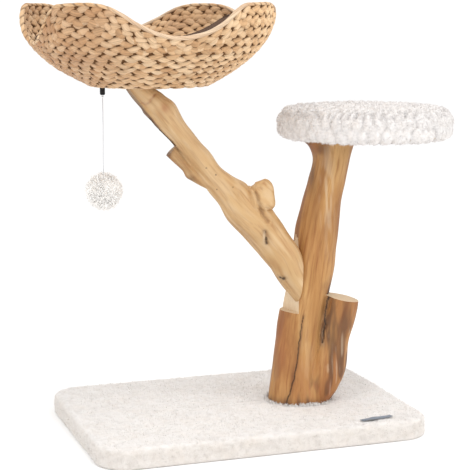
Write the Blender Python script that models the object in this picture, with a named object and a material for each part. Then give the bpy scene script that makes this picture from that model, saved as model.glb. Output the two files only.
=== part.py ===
"""Cat tree: a trunk and a branch on a plush board, with a round perch, a woven bowl and a hanging toy."""

import math

import bmesh
import bpy
from mathutils import Matrix, Vector

GAP = 0.0003

# The upright plane in which the trunk and the branch spread, turned from the board's long side.
TREE_TURN = math.radians(-19)

# Base board, lying on the floor.
BASE_WIDTH = 0.600
BASE_DEPTH = 0.420
BASE_CORNER = 0.056
BASE_HEIGHT = 0.036
BASE_EDGE_ROUND = 0.010
BASE_CLOTH = 0.0042
BASE_HEM = 0.032
HEM_THICK = 0.003
UNDERLAY_THICK = 0.0025

# Trunk and its fixing.
TRUNK_BOTTOM = BASE_HEIGHT + GAP
TRUNK_TOP = 0.5180
TRUNK_BOLT_RING = 0.026
TRUNK_BOLT_TURN = math.radians(100)
BOLT_SHANK = 0.004
BOLT_DEPTH = 0.060
BOLT_HEAD = 0.0075
BOLT_HEAD_HEIGHT = 0.0050
WASHER_RADIUS = 0.011
WASHER_THICK = 0.0015

# Rows of the trunk: along and across the tree's plane, height, half width, half depth.
TRUNK_ROWS = (
    (0.109, 0.026, 0.036, 0.050, 0.048),
    (0.111, 0.030, 0.080, 0.045, 0.045),
    (0.117, 0.036, 0.140, 0.044, 0.042),
    (0.124, 0.041, 0.190, 0.044, 0.041),
    (0.135, 0.046, 0.240, 0.042, 0.040),
    (0.143, 0.051, 0.300, 0.041, 0.039),
    (0.151, 0.056, 0.352, 0.040, 0.038),
    (0.158, 0.061, 0.395, 0.036, 0.037),
    (0.167, 0.065, 0.435, 0.036, 0.036),
    (0.175, 0.069, 0.475, 0.035, 0.036),
    (0.1745, 0.072, 0.518, 0.0485, 0.042),
)
STUB_ROWS = (
    (0.138, 0.020, 0.036, 0.034, 0.036),
    (0.152, 0.022, 0.060, 0.036, 0.037),
    (0.167, 0.026, 0.095, 0.036, 0.037),
    (0.176, 0.030, 0.140, 0.031, 0.034),
    (0.184, 0.032, 0.180, 0.033, 0.032),
    (0.192, 0.032, 0.210, 0.031, 0.030),
    (0.194, 0.032, 0.240, 0.030, 0.029),
)
STUB_CUT_SPOT = (0.198, 0.032, 0.2235)
STUB_CUT_TILT = math.radians(12)
STUB_SAW = (0.120, 0.120, 0.060)

# Flat seat that the branch is fixed against, and the shelf under it.
SEAT_SPOT = (0.115, 0.003, 0.200)
SEAT_FACING = (-0.902, -0.421, 0.090)
SEAT_TOP = 0.330
SEAT_SIZE = 0.200

# Rows of the branch: along, across, height, half width, half depth, from its sawn foot to the bowl.
BRANCH_ROWS = (
    (0.150, 0.040, 0.200, 0.020, 0.020),
    (0.126, 0.028, 0.235, 0.024, 0.026),
    (0.1035, 0.020, 0.270, 0.028, 0.028),
    (0.089, 0.012, 0.301, 0.031, 0.028),
    (0.066, 0.005, 0.333, 0.0325, 0.028),
    (0.041, -0.001, 0.364, 0.035, 0.029),
    (0.013, -0.006, 0.391, 0.032, 0.028),
    (-0.014, -0.012, 0.425, 0.027, 0.026),
    (-0.040, -0.019, 0.455, 0.0215, 0.024),
    (-0.064, -0.025, 0.486, 0.0215, 0.023),
    (-0.091, -0.032, 0.521, 0.0205, 0.021),
    (-0.1175, -0.040, 0.556, 0.0245, 0.022),
    (-0.132, -0.044, 0.5755, 0.0220, 0.022),
    (-0.163, -0.050, 0.607, 0.0190, 0.024),
    (-0.172, -0.052, 0.620, 0.0190, 0.024),
)
KNOB_ROWS = (
    (0.020, -0.004, 0.385, 0.022, 0.022),
    (0.040, -0.006, 0.410, 0.025, 0.022),
    (0.049, -0.007, 0.428, 0.019, 0.017),
    (0.052, -0.007, 0.440, 0.010, 0.010),
)
TWIG_ROWS = (
    (-0.040, -0.024, 0.440, 0.012, 0.013),
    (-0.068, -0.028, 0.455, 0.0145, 0.014),
    (-0.088, -0.033, 0.474, 0.0125, 0.012),
    (-0.114, -0.039, 0.500, 0.0115, 0.011),
)
BRANCH_SCREW_HEIGHTS = (0.262, 0.296)
BRANCH_SCREW_INSET = 0.010
BRANCH_SAW = (0.300, 0.300, 0.200)
BRANCH_TOP_SAW = (0.200, 0.200, 0.100)

# Countersunk screws: length, shank radius, head radius, head height.
BRANCH_SCREW = (0.092, 0.0030, 0.0060, 0.0040)
PERCH_SCREW = (0.060, 0.0025, 0.0050, 0.0040)
BOWL_SCREW = (0.055, 0.0022, 0.0045, 0.0035)
SCREW_SIDES = 12
CUTTER_REACH = 0.020

# Round perch on the trunk.
PERCH_CENTRE = (0.250, 0.000)
PERCH_RADIUS = 0.157
PERCH_BOTTOM = 0.515
PERCH_CLOTH = 0.0052
PERCH_HEM_RADIUS = 0.125
PLYWOOD_THICK = 0.018
FOAM_THICK = 0.022
PERCH_EDGE_ROUND = 0.018
LINING_THICK = 0.0022
LINING_OPENING = 0.053
PERCH_SCREW_RING = 0.024
PERCH_SIDES = 48

# Woven bowl on the branch.
BOWL_CENTRE = (-0.156, 0.001)
BOWL_BOTTOM = 0.6130
BOWL_HEIGHT = 0.1385
BOWL_FOOT_RADIUS = 0.102
BOWL_TOP_RADIUS = 0.2195
BOWL_CURVE = 2.3
BOWL_WALL = 0.0085
PETALS = 4
PETAL_TURN = math.radians(-134)
PETAL_DROP = 0.053
PETAL_FLATNESS = 0.35
DIP_FLATNESS = 0.10
LOW_SIDE = math.radians(180)
LOW_SIDE_DROP = 0.012
BOWL_COLUMNS = 48
WALL_LEVELS = (0.0, 0.05, 0.14, 0.26, 0.42, 0.60, 0.80, 0.93, 1.0)
RIM_WIRE = 0.0022
RIM_SEAT = 0.0032
BAND_DEPTH = 0.0075
BAND_THICK = 0.0014
BAND_SLACK = 0.0006
FRAME_WIRE = 0.0016
FOOT_RING_RADIUS = 0.0935
RIB_COUNT = 8
DISC_RADIUS = 0.066
DISC_THICK = 0.009
BOWL_SCREW_RING = 0.0125
BOWL_SCREW_LEAN = 0.35

# Cushion lying in the bowl.
CUSHION_THICK = 0.034
CUSHION_EDGE = 0.075
CUSHION_RAISED_SIDE = math.radians(22)
CUSHION_RAISED_SPREAD = math.radians(17.5)
CUSHION_RAISE = 0.047
CUSHION_BELOW_RIM = 0.008
CUSHION_CLEARANCE = 0.0025
CUSHION_FOOT_RADIUS = 0.082
CUSHION_SIDES = 36
CUSHION_WALL_SHARES = (0.35, 0.60, 0.85)
CUSHION_TOP_SHARES = (0.90, 0.66, 0.36)
CUSHION_TOP_CURVE = 2.4
CUSHION_LIP = 0.006

# Hanging toy.
TOY_SPOT = (-0.2322, 0.0271)
FERRULE_RADIUS = 0.0045
FERRULE_LENGTH = 0.0155
SHANK_RADIUS = 0.0022
BUTTON_RADIUS = 0.0075
BUTTON_THICK = 0.0020
KNOT_RADIUS = 0.0022
CORD_RADIUS = 0.0009
CORD_LENGTH = 0.1290
CORD_STEPS = 28
POMPOM_RADIUS = 0.0335

# Plain sewn tag on the board's plush.
TAG_CENTRE = (0.1995, -0.1800)
TAG_SIZE = (0.062, 0.011, 0.0009)
TAG_TURN = math.radians(9)

RING_SIDES = 24


def clear_scene():
    for obj in list(bpy.data.objects):
        bpy.data.objects.remove(obj, do_unlink=True)


def finish_material(name, colour, roughness, metallic=0.0):
    material = bpy.data.materials.new(name)
    material.use_nodes = True
    shader = material.node_tree.nodes["Principled BSDF"]
    shader.inputs["Base Color"].default_value = (*colour, 1.0)
    shader.inputs["Roughness"].default_value = roughness
    shader.inputs["Metallic"].default_value = metallic
    material.diffuse_color = (*colour, 1.0)
    return material


def place_mesh(name, shape, material, origin=(0.0, 0.0, 0.0), smooth_angle=40):
    """Turns a bmesh into an object whose origin lies at the given point."""
    bmesh.ops.recalc_face_normals(shape, faces=shape.faces)
    if shape.calc_volume(signed=True) < 0:
        bmesh.ops.reverse_faces(shape, faces=shape.faces)
    mesh = bpy.data.meshes.new(name)
    shape.transform(Matrix.Translation(-Vector(origin)))
    shape.to_mesh(mesh)
    shape.free()
    mesh.materials.append(material)
    mesh.shade_smooth()
    mesh.set_sharp_from_angle(angle=math.radians(smooth_angle))
    obj = bpy.data.objects.new(name, mesh)
    obj.location = origin
    bpy.context.scene.collection.objects.link(obj)
    return obj


def make_cutter(obj):
    obj.hide_render = True
    obj.display_type = "WIRE"
    return obj


def combine(obj, helper, operation="DIFFERENCE"):
    """Cuts the helper from the object, or joins it to the object."""
    modifier = obj.modifiers.new(f"{operation.lower()}_{helper.name}", "BOOLEAN")
    modifier.operation = operation
    modifier.solver = "EXACT"
    modifier.object = make_cutter(helper)


def loft(rings):
    """A closed skin through rings with the same number of points, with a flat cap on both ends."""
    shape = bmesh.new()
    rows = [[shape.verts.new(point) for point in ring] for ring in rings]
    count = len(rows[0])
    for lower, upper in zip(rows, rows[1:]):
        for i in range(count):
            j = (i + 1) % count
            shape.faces.new((lower[i], lower[j], upper[j], upper[i]))
    shape.faces.new(reversed(rows[0]))
    shape.faces.new(rows[-1])
    return shape


def circle(centre, radius, height, sides=RING_SIDES):
    step = 2 * math.pi / sides
    return [
        Vector((centre[0] + radius * math.cos(i * step), centre[1] + radius * math.sin(i * step), height))
        for i in range(sides)
    ]


def turned(name, material, centre, profile, sides=RING_SIDES, origin=None):
    """A round piece about a vertical axis; the profile is a list of radius and height."""
    rings = [circle(centre, radius, height, sides) for radius, height in profile]
    return place_mesh(name, loft(rings), material, origin or (*centre, profile[0][1]))


def rounded_rectangle(width, depth, corner, height, steps=6):
    points = []
    for sign_x, sign_y, start in ((1, 1, 0), (-1, 1, 90), (-1, -1, 180), (1, -1, 270)):
        for step in range(steps + 1):
            angle = math.radians(start + 90 * step / steps)
            points.append(
                Vector(
                    (
                        sign_x * (width / 2 - corner) + corner * math.cos(angle),
                        sign_y * (depth / 2 - corner) + corner * math.sin(angle),
                        height,
                    )
                )
            )
    return points


def tree_axes():
    """Unit vectors along the tree's plane and across it."""
    along = Vector((math.cos(TREE_TURN), math.sin(TREE_TURN), 0.0))
    across = Vector((-math.sin(TREE_TURN), math.cos(TREE_TURN), 0.0))
    return along, across


def tree_spot(along_by, across_by, height):
    along, across = tree_axes()
    return along * along_by + across * across_by + Vector((0.0, 0.0, height))


def curve_value(before, start, end, after, share):
    """One coordinate of a Catmull-Rom curve, between start and end."""
    first = (end - before) * share
    second = (2 * before - 5 * start + 4 * end - after) * share**2
    third = (3 * start - before - 3 * end + after) * share**3
    return start + 0.5 * (first + second + third)


def smooth_rows(rows, steps):
    """A Catmull-Rom curve through the rows, with the given number of steps between two rows."""
    padded = (rows[0],) + tuple(rows) + (rows[-1],)
    result = []
    for i in range(len(rows) - 1):
        for step in range(steps):
            share = step / steps
            result.append(tuple(curve_value(*values, share) for values in zip(*padded[i : i + 4])))
    result.append(tuple(rows[-1]))
    return result


def limb_rings(rows, steps=2, upright=False, sides=RING_SIDES):
    """Oval rings square to a limb's run, or level ones on an upright limb."""
    rows = smooth_rows(rows, steps)
    spots = [tree_spot(*row[:3]) for row in rows]
    across = tree_axes()[1]
    rings = []
    for i, (row, spot) in enumerate(zip(rows, spots)):
        run = spots[min(i + 1, len(spots) - 1)] - spots[max(i - 1, 0)]
        if upright:
            run = Vector((0.0, 0.0, 1.0))
        side = across.cross(run).normalized()
        depth = run.cross(side).normalized()
        ring = []
        for k in range(sides):
            angle = 2 * math.pi * k / sides
            ring.append(spot + side * (row[3] * math.cos(angle)) + depth * (row[4] * math.sin(angle)))
        rings.append(ring)
    return rings


def box_helper(name, spot, facing, size):
    """A box whose inner face passes through the spot and whose body lies on the facing side."""
    shape = bmesh.new()
    bmesh.ops.create_cube(shape, size=1.0)
    bmesh.ops.scale(shape, vec=size, verts=shape.verts)
    bmesh.ops.translate(shape, vec=(0.0, 0.0, size[2] / 2), verts=shape.verts)
    turn = Vector(facing).to_track_quat("Z", "Y").to_matrix().to_4x4()
    shape.transform(Matrix.Translation(spot) @ turn)
    return place_mesh(name, shape, bpy.data.materials["steel"])


def rod_helper(name, start, end, radius, sides=16):
    """A round cutter from start to end."""
    run = end - start
    shape = bmesh.new()
    bmesh.ops.create_cone(
        shape, cap_ends=True, segments=sides, radius1=radius, radius2=radius, depth=run.length
    )
    turn = run.to_track_quat("Z", "Y").to_matrix().to_4x4()
    shape.transform(Matrix.Translation((start + end) / 2) @ turn)
    return place_mesh(name, shape, bpy.data.materials["steel"])


def ring_spots(centre, radius, count, turn=0.0):
    return [
        (
            centre[0] + radius * math.cos(turn + 2 * math.pi * i / count),
            centre[1] + radius * math.sin(turn + 2 * math.pi * i / count),
        )
        for i in range(count)
    ]


def along_run(name, head_spot, run, profile):
    """A round piece whose profile starts at head_spot and points along run."""
    shape = loft([circle((0.0, 0.0), radius, height, SCREW_SIDES) for radius, height in profile])
    turn = Vector(run).to_track_quat("Z", "Y").to_matrix().to_4x4()
    shape.transform(Matrix.Translation(head_spot) @ turn)
    return place_mesh(name, shape, bpy.data.materials["steel"], head_spot)


def drive_screw(name, head_spot, run, size, pieces):
    """A countersunk screw with its head's face at head_spot, and its hole in each of the pieces."""
    length, shank, head, head_height = size
    tip = 3 * shank
    along_run(
        name,
        head_spot,
        run,
        [(head, 0.0), (shank, head_height), (shank, length - tip), (0.2 * shank, length)],
    )
    hole = along_run(
        f"{name}_hole",
        head_spot,
        run,
        [
            (head + GAP, -CUTTER_REACH),
            (head + GAP, 0.0),
            (shank + GAP, head_height + GAP),
            (shank + GAP, length + GAP),
        ],
    )
    for piece in pieces:
        combine(piece, hole)


def foot_centre():
    spot = tree_spot(*TRUNK_ROWS[0][:3])
    return spot.x, spot.y


def perch_seat_centre():
    spot = tree_spot(*TRUNK_ROWS[-1][:3])
    return spot.x, spot.y


def build_base():
    plush = finish_material("base_plush", (0.86, 0.83, 0.80), 0.95)
    board_finish = finish_material("particle_board", (0.52, 0.38, 0.24), 0.80)
    felt = finish_material("felt", (0.30, 0.30, 0.31), 0.95)
    tag_finish = finish_material("tag_cloth", (0.36, 0.40, 0.45), 0.80)
    inner_width = BASE_WIDTH - 2 * BASE_CLOTH
    inner_depth = BASE_DEPTH - 2 * BASE_CLOTH
    inner_corner = BASE_CORNER - BASE_CLOTH
    board_bottom = HEM_THICK + GAP
    board_top = BASE_HEIGHT - BASE_CLOTH - GAP

    def outline(inset, height):
        corner = max(BASE_CORNER - inset, 0.004)
        return rounded_rectangle(BASE_WIDTH - 2 * inset, BASE_DEPTH - 2 * inset, corner, height)

    rings = []
    for step in range(4, -1, -1):
        angle = math.radians(90 * step / 4)
        inset = BASE_EDGE_ROUND * (1 - math.cos(angle))
        rings.append(outline(inset, BASE_HEIGHT - BASE_EDGE_ROUND * (1 - math.sin(angle))))
    rings.append(outline(0.0, 0.004))
    rings.append(outline(0.003, 0.0))
    rings.append(outline(BASE_HEM, 0.0))
    rings.append(outline(BASE_HEM, HEM_THICK))
    rings.append(outline(BASE_CLOTH, HEM_THICK))
    rings.append(outline(BASE_CLOTH, BASE_HEIGHT - BASE_CLOTH))
    cover = place_mesh("base_cover", loft(rings), plush)

    board_rings = [
        rounded_rectangle(inner_width - 2 * GAP, inner_depth - 2 * GAP, inner_corner - GAP, height)
        for height in (board_bottom, board_top)
    ]
    board = place_mesh("base_board", loft(board_rings), board_finish)

    panel_inset = BASE_HEM + GAP
    place_mesh(
        "base_underlay",
        loft([outline(panel_inset, 0.0), outline(panel_inset, UNDERLAY_THICK)]),
        felt,
    )

    tag_shape = bmesh.new()
    bmesh.ops.create_cube(tag_shape, size=1.0)
    bmesh.ops.scale(tag_shape, vec=TAG_SIZE, verts=tag_shape.verts)
    tag_middle = Vector((*TAG_CENTRE, BASE_HEIGHT + GAP + TAG_SIZE[2] / 2))
    tag_shape.transform(Matrix.Translation(tag_middle) @ Matrix.Rotation(TAG_TURN, 4, "Z"))
    place_mesh("sewn_tag", tag_shape, tag_finish)
    return cover, board, board_bottom


def build_trunk_bolts(cover, board, trunk, board_bottom):
    steel = bpy.data.materials["steel"]
    head_bottom = board_bottom + GAP
    head_top = head_bottom + BOLT_HEAD_HEIGHT
    washer_bottom = head_top + GAP
    washer_top = washer_bottom + WASHER_THICK
    bolt_top = washer_top + BOLT_DEPTH
    spots = ring_spots(foot_centre(), TRUNK_BOLT_RING, 3, TRUNK_BOLT_TURN)
    for number, (x, y) in enumerate(spots, 1):
        below = Vector((x, y, -CUTTER_REACH))
        washer = (BOLT_SHANK + GAP, WASHER_RADIUS, washer_bottom, washer_top)
        build_tube(f"trunk_washer_{number}", steel, (x, y), *washer)
        head = loft([circle((x, y), BOLT_HEAD, height, 6) for height in (head_bottom, head_top)])
        bolt = place_mesh(f"trunk_bolt_{number}", head, steel, (x, y, head_bottom))
        inside_head = Vector((x, y, (head_bottom + head_top) / 2))
        tip = Vector((x, y, bolt_top))
        shank = rod_helper(f"bolt_shank_{number}", inside_head, tip, BOLT_SHANK, SCREW_SIDES)
        combine(bolt, shank, "UNION")
        pocket_top = Vector((x, y, washer_top + GAP))
        pocket = rod_helper(f"bolt_pocket_{number}", below, pocket_top, WASHER_RADIUS + GAP, 20)
        hole_top = Vector((x, y, bolt_top + GAP))
        hole = rod_helper(f"bolt_hole_{number}", below, hole_top, BOLT_SHANK + GAP, SCREW_SIDES)
        combine(board, pocket)
        combine(board, hole)
        combine(cover, hole)
        combine(trunk, hole)


def build_tube(name, material, spot, inner, outer, bottom, top, sides=20):
    """A round plate with a hole through its middle."""
    shape = bmesh.new()
    loops = [
        [shape.verts.new(point) for point in circle(spot, radius, height, sides)]
        for radius, height in ((inner, bottom), (outer, bottom), (outer, top), (inner, top))
    ]
    for k, ring in enumerate(loops):
        nearby = loops[(k + 1) % 4]
        for i in range(sides):
            j = (i + 1) % sides
            shape.faces.new((ring[i], ring[j], nearby[j], nearby[i]))
    return place_mesh(name, shape, material, (*spot, bottom))


def build_trunk():
    wood = finish_material("trunk_wood", (0.48, 0.27, 0.10), 0.65)
    trunk = place_mesh("trunk", loft(limb_rings(TRUNK_ROWS, upright=True)), wood)
    stub = place_mesh("trunk_stub_shape", loft(limb_rings(STUB_ROWS, upright=True, sides=20)), wood)
    along = tree_axes()[0]
    tilt = along * math.sin(STUB_CUT_TILT) + Vector((0.0, 0.0, math.cos(STUB_CUT_TILT)))
    combine(stub, box_helper("stub_saw", tree_spot(*STUB_CUT_SPOT), tilt, STUB_SAW))
    combine(trunk, stub, "UNION")
    return trunk


def seat_plane():
    along, across = tree_axes()
    facing = along * SEAT_FACING[0] + across * SEAT_FACING[1] + Vector((0.0, 0.0, SEAT_FACING[2]))
    return tree_spot(*SEAT_SPOT), facing.normalized()


def build_branch(trunk):
    wood = finish_material("branch_wood", (0.66, 0.42, 0.17), 0.60)
    branch = place_mesh("branch", loft(limb_rings(BRANCH_ROWS)), wood)
    for name, rows in (("knob_shape", KNOB_ROWS), ("twig_shape", TWIG_ROWS)):
        combine(branch, place_mesh(name, loft(limb_rings(rows, sides=16)), wood), "UNION")
    spot, facing = seat_plane()
    seat_height = SEAT_TOP - SEAT_SPOT[2]
    middle = spot + Vector((0.0, 0.0, seat_height / 2))
    middle -= facing * (middle - spot).dot(facing)
    notch = box_helper("seat_cutter", middle, facing, (SEAT_SIZE, seat_height, SEAT_SIZE))
    combine(trunk, notch)
    behind = box_helper("branch_foot_saw", middle + facing * GAP, -facing, BRANCH_SAW)
    combine(branch, behind)
    bowl_foot = Vector((*BOWL_CENTRE, BOWL_BOTTOM - GAP))
    top_saw = box_helper("branch_top_saw", bowl_foot, (0.0, 0.0, 1.0), BRANCH_TOP_SAW)
    combine(branch, top_saw)
    return branch


def build_branch_screws(trunk, branch):
    facing = seat_plane()[1]
    level = Vector((facing.x, facing.y, 0.0)).normalized()
    for number, height in enumerate(BRANCH_SCREW_HEIGHTS, 1):
        share = (height - TRUNK_ROWS[4][2]) / (TRUNK_ROWS[5][2] - TRUNK_ROWS[4][2])
        row = [a + (b - a) * share for a, b in zip(TRUNK_ROWS[4], TRUNK_ROWS[5])]
        head_spot = tree_spot(row[0], row[1], height) - level * (row[3] - BRANCH_SCREW_INSET)
        drive_screw(f"branch_screw_{number}", head_spot, level, BRANCH_SCREW, (trunk, branch))


def build_perch(trunk):
    plush = finish_material("perch_plush", (0.84, 0.81, 0.78), 0.95)
    plywood = finish_material("plywood", (0.66, 0.50, 0.31), 0.70)
    foam_finish = finish_material("foam", (0.85, 0.83, 0.74), 0.95)
    felt = bpy.data.materials["felt"]
    plate_bottom = TRUNK_TOP + GAP
    plate_top = plate_bottom + PLYWOOD_THICK
    foam_bottom = plate_top + GAP
    foam_top = foam_bottom + FOAM_THICK
    cloth_inside = PERCH_RADIUS - PERCH_CLOTH
    perch_top = foam_top + GAP + PERCH_CLOTH

    profile = []
    for step in range(5, -1, -1):
        angle = math.radians(90 * step / 5)
        profile.append(
            (
                PERCH_RADIUS - PERCH_EDGE_ROUND * (1 - math.cos(angle)),
                perch_top - PERCH_EDGE_ROUND * (1 - math.sin(angle)),
            )
        )
    profile += [
        (PERCH_RADIUS, PERCH_BOTTOM + 0.010),
        (PERCH_RADIUS - 0.003, PERCH_BOTTOM + 0.003),
        (PERCH_RADIUS - 0.010, PERCH_BOTTOM),
        (PERCH_HEM_RADIUS, PERCH_BOTTOM),
        (PERCH_HEM_RADIUS, plate_bottom - GAP),
        (cloth_inside, plate_bottom - GAP),
        (cloth_inside, perch_top - 0.016),
        (cloth_inside - 0.010, perch_top - PERCH_CLOTH),
    ]
    turned("perch_cover", plush, PERCH_CENTRE, profile, PERCH_SIDES)

    board_radius = cloth_inside - GAP
    plate_profile = [(board_radius, plate_bottom), (board_radius, plate_top)]
    plate = turned("perch_plywood", plywood, PERCH_CENTRE, plate_profile, PERCH_SIDES)
    turned(
        "perch_foam",
        foam_finish,
        PERCH_CENTRE,
        [
            (board_radius, foam_bottom),
            (board_radius, foam_top - 0.012),
            (board_radius - 0.011, foam_top),
        ],
        PERCH_SIDES,
    )
    lining = turned(
        "perch_lining",
        felt,
        PERCH_CENTRE,
        [
            (PERCH_HEM_RADIUS - GAP, plate_bottom - GAP - LINING_THICK),
            (PERCH_HEM_RADIUS - GAP, plate_bottom - GAP),
        ],
        PERCH_SIDES,
    )
    seat = perch_seat_centre()
    below = Vector((*seat, PERCH_BOTTOM - CUTTER_REACH))
    opening = rod_helper("lining_opening", below, Vector((*seat, plate_top)), LINING_OPENING, 32)
    combine(lining, opening)

    down = Vector((0.0, 0.0, -1.0))
    for number, spot in enumerate(ring_spots(seat, PERCH_SCREW_RING, 3), 1):
        head_spot = Vector((*spot, plate_top - GAP))
        drive_screw(f"perch_screw_{number}", head_spot, down, PERCH_SCREW, (plate, trunk))


def bowl_radius(rise):
    """Outer radius of the bowl at a height above its foot."""
    share = min(max(rise / BOWL_HEIGHT, 0.0), 1.0)
    return BOWL_FOOT_RADIUS + (BOWL_TOP_RADIUS - BOWL_FOOT_RADIUS) * (1 - (1 - share) ** BOWL_CURVE)


def rim_rise(angle):
    """Height of the wavy rim above the bowl's foot: four petals with broad dips between them."""
    wave = math.cos(PETALS * (angle - PETAL_TURN))
    wave *= 1 + (PETAL_FLATNESS if wave > 0 else DIP_FLATNESS) * (1 - wave**2)
    drop = PETAL_DROP + LOW_SIDE_DROP * math.cos(angle - LOW_SIDE)
    return BOWL_HEIGHT - drop * (1 - wave) / 2


def bowl_point(angle, rise, inward=0.0):
    """A point on the bowl's wall, moved inwards square to the wall."""
    step = 0.001
    slope = (bowl_radius(rise + step) - bowl_radius(rise - step)) / (2 * step)
    length = math.hypot(1.0, slope)
    radius = bowl_radius(rise) - inward / length
    height = BOWL_BOTTOM + rise + inward * slope / length
    return Vector(
        (BOWL_CENTRE[0] + radius * math.cos(angle), BOWL_CENTRE[1] + radius * math.sin(angle), height)
    )


def tube_mesh(points, radius, sides=6, closed=False):
    """A round wire along the points, as a closed bmesh."""
    shape = bmesh.new()
    count = len(points)
    rows = []
    side = None
    for i, point in enumerate(points):
        if closed:
            run = points[(i + 1) % count] - points[i - 1]
        else:
            run = points[min(i + 1, count - 1)] - points[max(i - 1, 0)]
        run.normalize()
        if side is None:
            side = run.orthogonal()
        side = (side - run * side.dot(run)).normalized()
        lift = run.cross(side)
        rows.append(
            [
                shape.verts.new(
                    point
                    + side * (radius * math.cos(2 * math.pi * k / sides))
                    + lift * (radius * math.sin(2 * math.pi * k / sides))
                )
                for k in range(sides)
            ]
        )
    pairs = list(zip(rows, rows[1:]))
    if closed:
        pairs.append((rows[-1], rows[0]))
    for first, second in pairs:
        for k in range(sides):
            j = (k + 1) % sides
            shape.faces.new((first[k], first[j], second[j], second[k]))
    if not closed:
        shape.faces.new(reversed(rows[0]))
        shape.faces.new(rows[-1])
    return shape


def bowl_angles():
    return [2 * math.pi * i / BOWL_COLUMNS for i in range(BOWL_COLUMNS)]


def build_weave():
    """The woven wall and floor as one shell, open at the top."""
    straw = finish_material("straw_weave", (0.66, 0.46, 0.25), 0.75)
    angles = bowl_angles()
    edges = {angle: rim_rise(angle) - RIM_SEAT for angle in angles}
    floor = BOWL_BOTTOM + BOWL_WALL
    rings = [[bowl_point(angle, level * edges[angle]) for angle in angles] for level in WALL_LEVELS]
    for level in reversed(WALL_LEVELS[2:]):
        rings.append([bowl_point(angle, level * edges[angle], BOWL_WALL) for angle in angles])
    rings.append(circle(BOWL_CENTRE, BOWL_FOOT_RADIUS - 0.004, floor, BOWL_COLUMNS))
    return place_mesh("bowl_weave", loft(rings), straw, (*BOWL_CENTRE, BOWL_BOTTOM))


def build_rim():
    """The straw band that wraps the rim: a channel, open below, over the rim wire and the wall's edge."""
    straw = finish_material("straw_band", (0.70, 0.52, 0.31), 0.60)
    inside = -BAND_SLACK
    outside = BOWL_WALL + 2 * FRAME_WIRE + 2 * BAND_SLACK + 0.0006
    middle = (inside + outside) / 2
    half = (outside - inside) / 2
    crown = RIM_WIRE + 0.0006
    profile = [
        (inside, -BAND_DEPTH),
        (inside, 0.0005),
        (middle - 0.6 * half, crown),
        (middle + 0.6 * half, crown),
        (outside, 0.0005),
        (outside, -BAND_DEPTH),
        (outside + BAND_THICK, -BAND_DEPTH),
        (outside + BAND_THICK, 0.0010),
        (middle + 0.7 * half, crown + BAND_THICK),
        (middle - 0.7 * half, crown + BAND_THICK),
        (inside - BAND_THICK, 0.0010),
        (inside - BAND_THICK, -BAND_DEPTH),
    ]
    shape = bmesh.new()
    rows = [
        [shape.verts.new(bowl_point(angle, rim_rise(angle) + rise, inward)) for inward, rise in profile]
        for angle in bowl_angles()
    ]
    for i, row in enumerate(rows):
        following = rows[(i + 1) % len(rows)]
        for k in range(len(profile)):
            j = (k + 1) % len(profile)
            shape.faces.new((row[k], row[j], following[j], following[k]))
    place_mesh("rim_band", shape, straw, (*BOWL_CENTRE, BOWL_BOTTOM))


def build_wire_frame():
    """Rim wire, ribs and foot ring, welded into one frame inside the weave."""
    steel = bpy.data.materials["steel"]
    rim_points = [bowl_point(angle, rim_rise(angle), BOWL_WALL / 2) for angle in bowl_angles()]
    origin = (*BOWL_CENTRE, BOWL_BOTTOM)
    frame = place_mesh("wire_frame", tube_mesh(rim_points, RIM_WIRE, closed=True), steel, origin)
    foot_height = BOWL_BOTTOM + BOWL_WALL + GAP + FRAME_WIRE
    foot_points = circle(BOWL_CENTRE, FOOT_RING_RADIUS, foot_height)
    foot_ring = place_mesh("foot_ring_shape", tube_mesh(foot_points, FRAME_WIRE, closed=True), steel)
    combine(frame, foot_ring, "UNION")
    lie = BOWL_WALL + FRAME_WIRE + 2 * GAP
    for number in range(RIB_COUNT):
        angle = 2 * math.pi * number / RIB_COUNT
        edge = rim_rise(angle)
        direction = Vector((math.cos(angle), math.sin(angle), 0.0))
        start = Vector((*BOWL_CENTRE, foot_height)) + direction * FOOT_RING_RADIUS
        points = [start] + [bowl_point(angle, level * edge, lie) for level in WALL_LEVELS[2:]]
        points.append(bowl_point(angle, edge + 0.0004, BOWL_WALL / 2))
        rib = place_mesh(f"rib_shape_{number}", tube_mesh(points, FRAME_WIRE), steel)
        combine(frame, rib, "UNION")


def build_bowl_fixing(weave, branch):
    plywood = bpy.data.materials["plywood"]
    disc_bottom = BOWL_BOTTOM + BOWL_WALL + GAP
    disc_top = disc_bottom + DISC_THICK
    disc_profile = [(DISC_RADIUS, disc_bottom), (DISC_RADIUS, disc_top)]
    disc = turned("bowl_disc", plywood, BOWL_CENTRE, disc_profile, BOWL_COLUMNS)
    top = tree_spot(*BRANCH_ROWS[-2][:3])
    down = Vector((0.0, 0.0, -1.0))
    for number, spot in enumerate(ring_spots((top.x, top.y), BOWL_SCREW_RING, 3, TREE_TURN), 1):
        head_spot = Vector((*spot, disc_top - GAP))
        run = (down + tree_axes()[0] * BOWL_SCREW_LEAN).normalized()
        drive_screw(f"bowl_screw_{number}", head_spot, run, BOWL_SCREW, (disc, weave, branch))


def cushion_edge_rise(angle):
    """Height of the cushion's edge above the bowl's foot: it climbs the wall on one side."""
    turn = math.remainder(angle - CUSHION_RAISED_SIDE, 2 * math.pi)
    rise = CUSHION_EDGE + CUSHION_RAISE * math.exp(-((turn / CUSHION_RAISED_SPREAD) ** 2))
    return min(rise, rim_rise(angle) - CUSHION_BELOW_RIM)


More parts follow.
